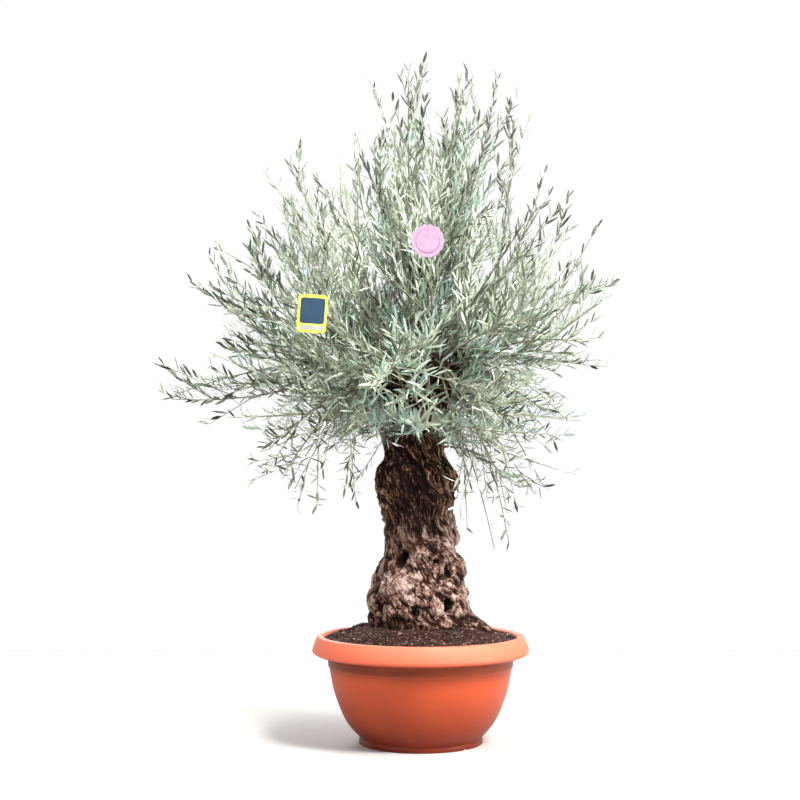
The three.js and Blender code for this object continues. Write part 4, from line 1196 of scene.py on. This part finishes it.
def makeShoots(name, shoots, rule, material):
    # round tubes along the shoots, thinning evenly from base to tip
    share = np.linspace(0, 1, shoots["path"].shape[1])[None]
    taper = rule["base"] + (rule["tip"] - rule["base"]) * share
    radii = taper * (0.75 + 0.25 * shoots["vigour"][:, None])
    rings, _ = ringsAlong(shoots["path"], radii, rule["sides"])
    finishPiece(addTubes("shoots_" + name, rings, [material]), rule["slot"])


older = shootMaterial("olive shoot bark", *shootBarks["bark"])
young = shootMaterial("young olive shoot", *shootBarks["foliage"])
for name, (shoots, rule) in shootSets.items():
    makeShoots(name, shoots, rule, older if rule["slot"] == "bark" else young)
print("stage: shoots", *[len(shoots["length"]) for shoots, rule in shootSets.values()])


def leafMaterial(name, tint, roughness):
    # olive leaf: leathery, with a waxy skin above and a felt of silver scales below; one colour for a
    # spray, with the faint pebbling of the skin in the bump
    material, shader, place = startMaterial(name, {"Base Color": linear(tint), "Roughness": roughness})
    grain = {"Vector": place, "Scale": 1000 / leaf["grainSize"], "Detail": 1}
    pebble = addNode(material, "TexNoise", "Fac", grain)
    return joinTo(material, shader, (pebble, 0.25, 0.6))


def leavesOn(shoots, rule, seed):
    # opposite pairs of leaves, each pair a quarter turn on from the last, closing up towards the tip.
    # Returns the root, way, direction across, size, carrying stem and tint number of each leaf
    spacing = rule["spacing"]
    pairs = int(np.ceil(shoots["length"].max() / spacing)) + 1
    own = np.arange(len(shoots["path"]))[:, None, None]
    k = np.arange(pairs)[None, :, None]
    hand = np.array([0, 1])[None, None]
    out = rule["bare"] + k * spacing + 5 * (draw(own + seed, k) - 0.5)
    share = out / shoots["length"][:, None, None]
    root, tangent = pointOn(shoots["path"], np.clip(share[..., 0], 0, 1))
    root, tangent = (np.repeat(v[:, :, None], 2, axis=2) for v in (root, tangent))
    key = own * 7.13 + k * 1.7 + hand * 0.9 + seed
    closing = (leaf["tipAngle"] - leaf["angle"]) * share**2
    opening = leaf["angle"] + closing + leaf["sway"] * (draw(key, 1) - 0.5) * 2
    quarter = k + 2 * hand + 0.5 * (draw(key, 2) - 0.5) + 2 * draw(own, seed)
    way = unit(wayOut(tangent, quarter, np.radians(opening)) + up * leaf["lift"] * draw(key, 9)[..., None])
    across = unit(np.cross(tangent, way))
    roll = (0.9 * (draw(key, 3) - 0.5))[..., None]
    across = across * np.cos(roll) + np.cross(way, across) * np.sin(roll)
    size = rule["larger"] * (0.78 + 0.44 * draw(key, 4)) * (1 - 0.3 * share**3)
    carrier = np.broadcast_to(shoots["carrier"][:, None, None], size.shape)
    tint = np.broadcast_to(shoots["tint"][:, None, None], size.shape)
    end = root + way * (leaf["length"] * size)[..., None]
    middle = (root + end) / 2
    keep = (share > 0) & (share < 1) & clearOfWood(end, 1) & shutIn(end, key) & shutIn(middle, key)
    for points in (root, middle, end):
        keep &= clearOfLabels(points)
    keep &= draw(key, 17) < 0.3 + 0.7 * stemFullness[carrier]
    keep &= beforeTip(end, carrier) > -crown["pastTip"]
    return [v[keep] for v in (root, way, across, size, carrier, tint)]


def leafPoints(root, way, across, size):
    # a lance-shaped blade from eight points: root, tip, two on each edge and two on the raised midrib;
    # it curls back with the square of the distance from its root, and is broader out in the light
    along = np.array([0, 0.3, 0.68, 1, 0.68, 0.3, 0.3, 0.68])
    side = np.array([0, 0.46, 0.45, 0, -0.45, -0.46, 0, 0])
    ridge = np.array([0, 0, 0, 0, 0, 0, 1, 1])
    face = np.cross(way, across)
    key = np.arange(len(root))
    curl = 0.16 * (draw(key, 7) - 0.3)
    long = (along * leaf["length"]) * size[:, None]
    out = smoothStep(aside(root), 0.45, 0.9)
    broad = (leaf["width"] + (leaf["outerWidth"] - leaf["width"]) * out) * (0.85 + 0.3 * draw(key, 8))
    wide = side * (broad * size)[:, None]
    rise = ridge * leaf["ridge"] - (along**2) * leaf["length"] * (curl * size)[:, None]
    place = root[:, None] + way[:, None] * long[..., None] + across[:, None] * wide[..., None]
    return (place + face[:, None] * rise[..., None]).reshape(-1, 3)


def addLeaves(name, blades, materials, upper, under, smooth=False):
    # the blades' points, with triangles and then quads, of each the upper ones first
    faceSets = [
        [[0, 5, 6], [0, 6, 1], [4, 3, 7], [7, 3, 2]],
        [[0, 1, 5], [2, 3, 4]],
        [[5, 4, 7, 6], [6, 7, 2, 1]],
        [[1, 2, 4, 5]],
    ]
    first = 8 * np.arange(len(upper))[:, None, None]
    faces = [(first + np.array(faceSet)).reshape(-1, len(faceSet[0])) for faceSet in faceSets]
    sets = [np.concatenate(faces[:2]), np.concatenate(faces[2:])]
    looks = np.concatenate([np.repeat(upper, 4), np.repeat(under, 2), np.repeat(upper, 2), under])
    return toMesh(name, leafPoints(*blades), sets, materials, looks, smooth)


def makeLeaves():
    # the leaves of all the shoots, dealt out to one piece for each side of the crown
    groups = [leavesOn(shoots, rule, i + 1) for i, (shoots, rule) in enumerate(shootSets.values())]
    *blades, carrier, tint = (np.concatenate(parts) for parts in zip(*groups))
    root = blades[0]
    # a spray far out in the crown is dark, one near the head is pale, one in its heart dark: painted light
    # and shade
    pale = np.clip((1.0 - aside(root)) * 4.7 + 4.2 * (draw(tint, 11) - 0.5), 0, 5.49)
    pale = pale * (0.1 + 0.9 * smoothStep(outwardness(root), 0.16, 0.56))
    # the shoots that droop over the head are a cooler green, and kept darker as painted shade
    onHead = tint >= 1000 * headSpray["seed"]
    pale = np.where(onHead, np.minimum(pale, leaf["headPalest"]), pale)
    cool = draw(tint, 12) > 1 - np.where(onHead, leaf["headCoolShare"], leaf["coolShare"])
    upper = np.where(cool, len(leaf["tints"]) - 1, np.round(pale)).astype(int)
    under = np.clip(0.7 * pale + 1.6 * (draw(tint, 13) - 0.5), 0, len(leaf["unders"]) - 1)
    under = len(leaf["tints"]) + np.round(under).astype(int)
    materials = [leafMaterial("olive leaf " + str(i + 1), t, 0.5) for i, t in enumerate(leaf["tints"])]
    for i, t in enumerate(leaf["unders"]):
        materials.append(leafMaterial("olive leaf underside " + str(i + 1), t, 0.7))
    stemMass = np.array(stemMasses)[carrier]
    for part in ("top", "left", "right", "front", "back", "low"):
        starts = ("top", "upper") if part == "top" else part
        carried = [name for name in masses if name.startswith(starts)]
        chosen = np.isin(stemMass, carried)
        own = [v[chosen] for v in blades]
        piece = addLeaves("leaves_" + part, own, materials, upper[chosen], under[chosen])
        finishPiece(piece, "foliage", *["foliage_" + name for name in carried])
        print("  leaves_" + part, int(chosen.sum()))
    print("stage: leaves", len(carrier))


makeLeaves()


# Fresh leaves in a hollow of the foot

# turn and height of the place, the slope that the tuft leans out at, how many leaves, and their size
sprout = {"turn": 264, "height": 432, "slope": 25, "leaves": 9, "size": 0.5, "colour": "#4f7a3d"}


def makeSprout():
    # a tuft with its roots in the bark of the hollow: the leaves stand round the way out, opened in turn
    turn, height = math.radians(sprout["turn"]), sprout["height"]
    axisX, axisY = trunkAxis(height)
    place = xyz(axisX, axisY, height) + direction(sprout["turn"], 0) * (trunkRadius(turn, height) - 4)
    i = np.arange(sprout["leaves"])
    tangent = np.repeat(direction(sprout["turn"], sprout["slope"])[None], len(i), axis=0)
    way = unit(wayOut(tangent, 1.6 * i, np.radians(14 + 5 * i)))
    blades = place + 3 * way, way, unit(np.cross(tangent, way)), sprout["size"] * (1.1 - 0.04 * i)
    fresh = leafMaterial("fresh olive leaf", sprout["colour"], 0.45)
    finishPiece(addLeaves("sprout_foot", blades, [fresh], 0 * i, 0 * i, smooth=True), "foliage")


makeSprout()
print("stage: sprout")


# The labels

label = {
    "thickness": 2.4,
    "bevel": 0.5,
    "printBevel": 0.3,
    # how far before the card's face the front and the back of the raised prints lie, and of the disc
    "printDepth": (0.5, -0.2),
    "discDepth": (0.8, 0.2),
    "lobes": 14,
    "scallop": 0.06,
    "steps": 240,
    "ring": 37,
    "disc": 34.5,
    "corner": 12,
    # half width, half height, corner, steps and place up from the middle
    "panel": (37, 39, 9, 200, 9),
    "band": (36, 7.5, 5, 160, -42),
    # colour and roughness of each card, print and strap
    "pink": ("#96798e", 0.45),
    "rose": ("#84607a", 0.45),
    "yellow": ("#ccd83f", 0.4),
    "slate": ("#24384c", 0.35),
    "cream": ("#8d9083", 0.4),
    "white": ("#e9ebe4", 0.5),
    "ripple": 16.67,  # mm across a ripple of the skin
    "strapRadius": 1.3,
    "strapBow": 10,
}


def cardMaterial(name, colour, roughness):
    # printed plastic card: an even colour under a thin gloss, with a barely rippled skin
    material, shader, place = startMaterial(name, {"Roughness": roughness, "IOR": 1.5})
    ripple = {"Vector": place, "Scale": 1000 / label["ripple"], "Detail": 2}
    tone = addNode(material, "TexNoise", "Fac", ripple)
    faded = "#" + "".join(f"{min(255, int(int(colour[i : i + 2], 16) * 1.05) + 4):02x}" for i in (1, 3, 5))
    shade = addNode(material, "ValToRGB", "Color", {0: tone}, [(0.35, colour), (0.7, faded)])
    return joinTo(material, shader, (tone, 0.1, 2), colour=shade)


def tilted(points, tilt):
    # turns points (across, upwards) to the right by so many degrees, as seen from the front
    c, s = math.cos(math.radians(tilt)), math.sin(math.radians(tilt))
    return points @ np.array([[c, -s], [s, c]])


def roundedBox(halfWide, halfHigh, corner, steps):
    # a rectangle with round corners, as the reach from its middle along each turn
    turn = turns(steps)
    power = 2 + 2.2 * (halfWide / corner)
    wide, high = np.abs(np.cos(turn) / halfWide), np.abs(np.sin(turn) / halfHigh)
    reach = (wide**power + high**power) ** (-1 / power)
    return np.stack([reach * np.cos(turn), reach * np.sin(turn)], axis=-1)


def addPlate(name, outline, centre, front, back, material, slotName, bevel, *nodes):
    # an upright plate that faces the front: its outline, drawn in at both faces by a small bevel
    inner = outline * (1 - bevel / np.linalg.norm(outline, axis=1, keepdims=True))
    rows = [(inner, back), (outline, back - bevel), (outline, front + bevel), (inner, front)]
    rings = [xyz(p[:, 0], depth, p[:, 1]) for p, depth in rows]
    rings = np.array(rings)[None] + np.array(centre)
    finishPiece(addTubes(name, rings, [material], smooth=False), slotName, *nodes)


def raisedUp(middle, lift, tilt):
    # the place so far up from a label's middle, along its own tilted height
    across, upward = tilted(np.array([0, lift]), tilt)
    return middle + xyz(across, 0, upward)


def addStrap(name, place, material, slotName):
    # a thin strap from the label's top back to the stem that holds it, in a shallow bow
    centre, (_, halfHigh), tilt, massName = place
    hold = pointOn(stemSet["path"][[stemMasses.index(massName)]], np.array([[0.5]]))[0][0, 0]
    top = raisedUp(centre, halfHigh - 6, tilt)
    t = np.linspace(0, 1, 16)[:, None]
    line = top + (hold - top) * t + up * label["strapBow"] * np.sin(math.pi * t)
    rings, _ = ringsAlong(line[None], np.full((1, len(t)), label["strapRadius"]), 8)
    finishPiece(addTubes(name, rings, [material]), slotName)


def onFace(depth):
    # the front and the back of a raised print, from the middle of the card
    return [-label["thickness"] / 2 - before for before in label[depth]]


def makeRoundLabel(strap):
    # a scalloped plate with a raised ring, and inside the ring a disc that stands out a little more
    middle, (radius, _), *_ = labelPlaces["round"]
    half, bevel, slotName = label["thickness"] / 2, label["printBevel"], "label_round"
    turn = turns(label["steps"])
    disc = np.stack([np.cos(turn), np.sin(turn)], axis=-1)
    reach = radius * (1 - label["scallop"] * (1 - np.abs(np.cos(turn * label["lobes"] / 2))))
    scallops = disc * reach[:, None]
    pink = cardMaterial("pink card", *label["pink"])
    rose = cardMaterial("rose card", *label["rose"])
    addPlate("tag_round", scallops, middle, -half, half, pink, slotName, label["bevel"], "label_round")
    addPlate("tag_round_ring", disc * label["ring"], middle, *onFace("printDepth"), rose, slotName, bevel)
    addPlate("tag_round_disc", disc * label["disc"], middle, *onFace("discDepth"), pink, slotName, bevel)
    addStrap("tag_round_strap", labelPlaces["round"], strap, slotName)


def makeCardLabel(strap):
    # a plate with round corners, a plain dark panel and a pale band below it
    middle, (wide, high), tilt, _ = labelPlaces["card"]
    half, slotName = label["thickness"] / 2, "label_card"
    outline = tilted(roundedBox(wide, high, label["corner"], label["steps"]), tilt)
    yellow = cardMaterial("yellow card", *label["yellow"])
    addPlate("tag_card", outline, middle, -half, half, yellow, slotName, label["bevel"], "label_card")
    for part, finish in (("panel", "slate"), ("band", "cream")):
        *size, lift = label[part]
        outline = tilted(roundedBox(*size), tilt)
        centre = raisedUp(middle, lift, tilt)
        material = cardMaterial(finish + " print", *label[finish])
        front, back = onFace("printDepth")
        addPlate("tag_card_" + part, outline, centre, front, back, material, slotName, label["printBevel"])
    addStrap("tag_card_strap", labelPlaces["card"], strap, slotName)


whiteStrap = cardMaterial("white strap", *label["white"])
makeRoundLabel(whiteStrap)
makeCardLabel(whiteStrap)
print("stage: labels")
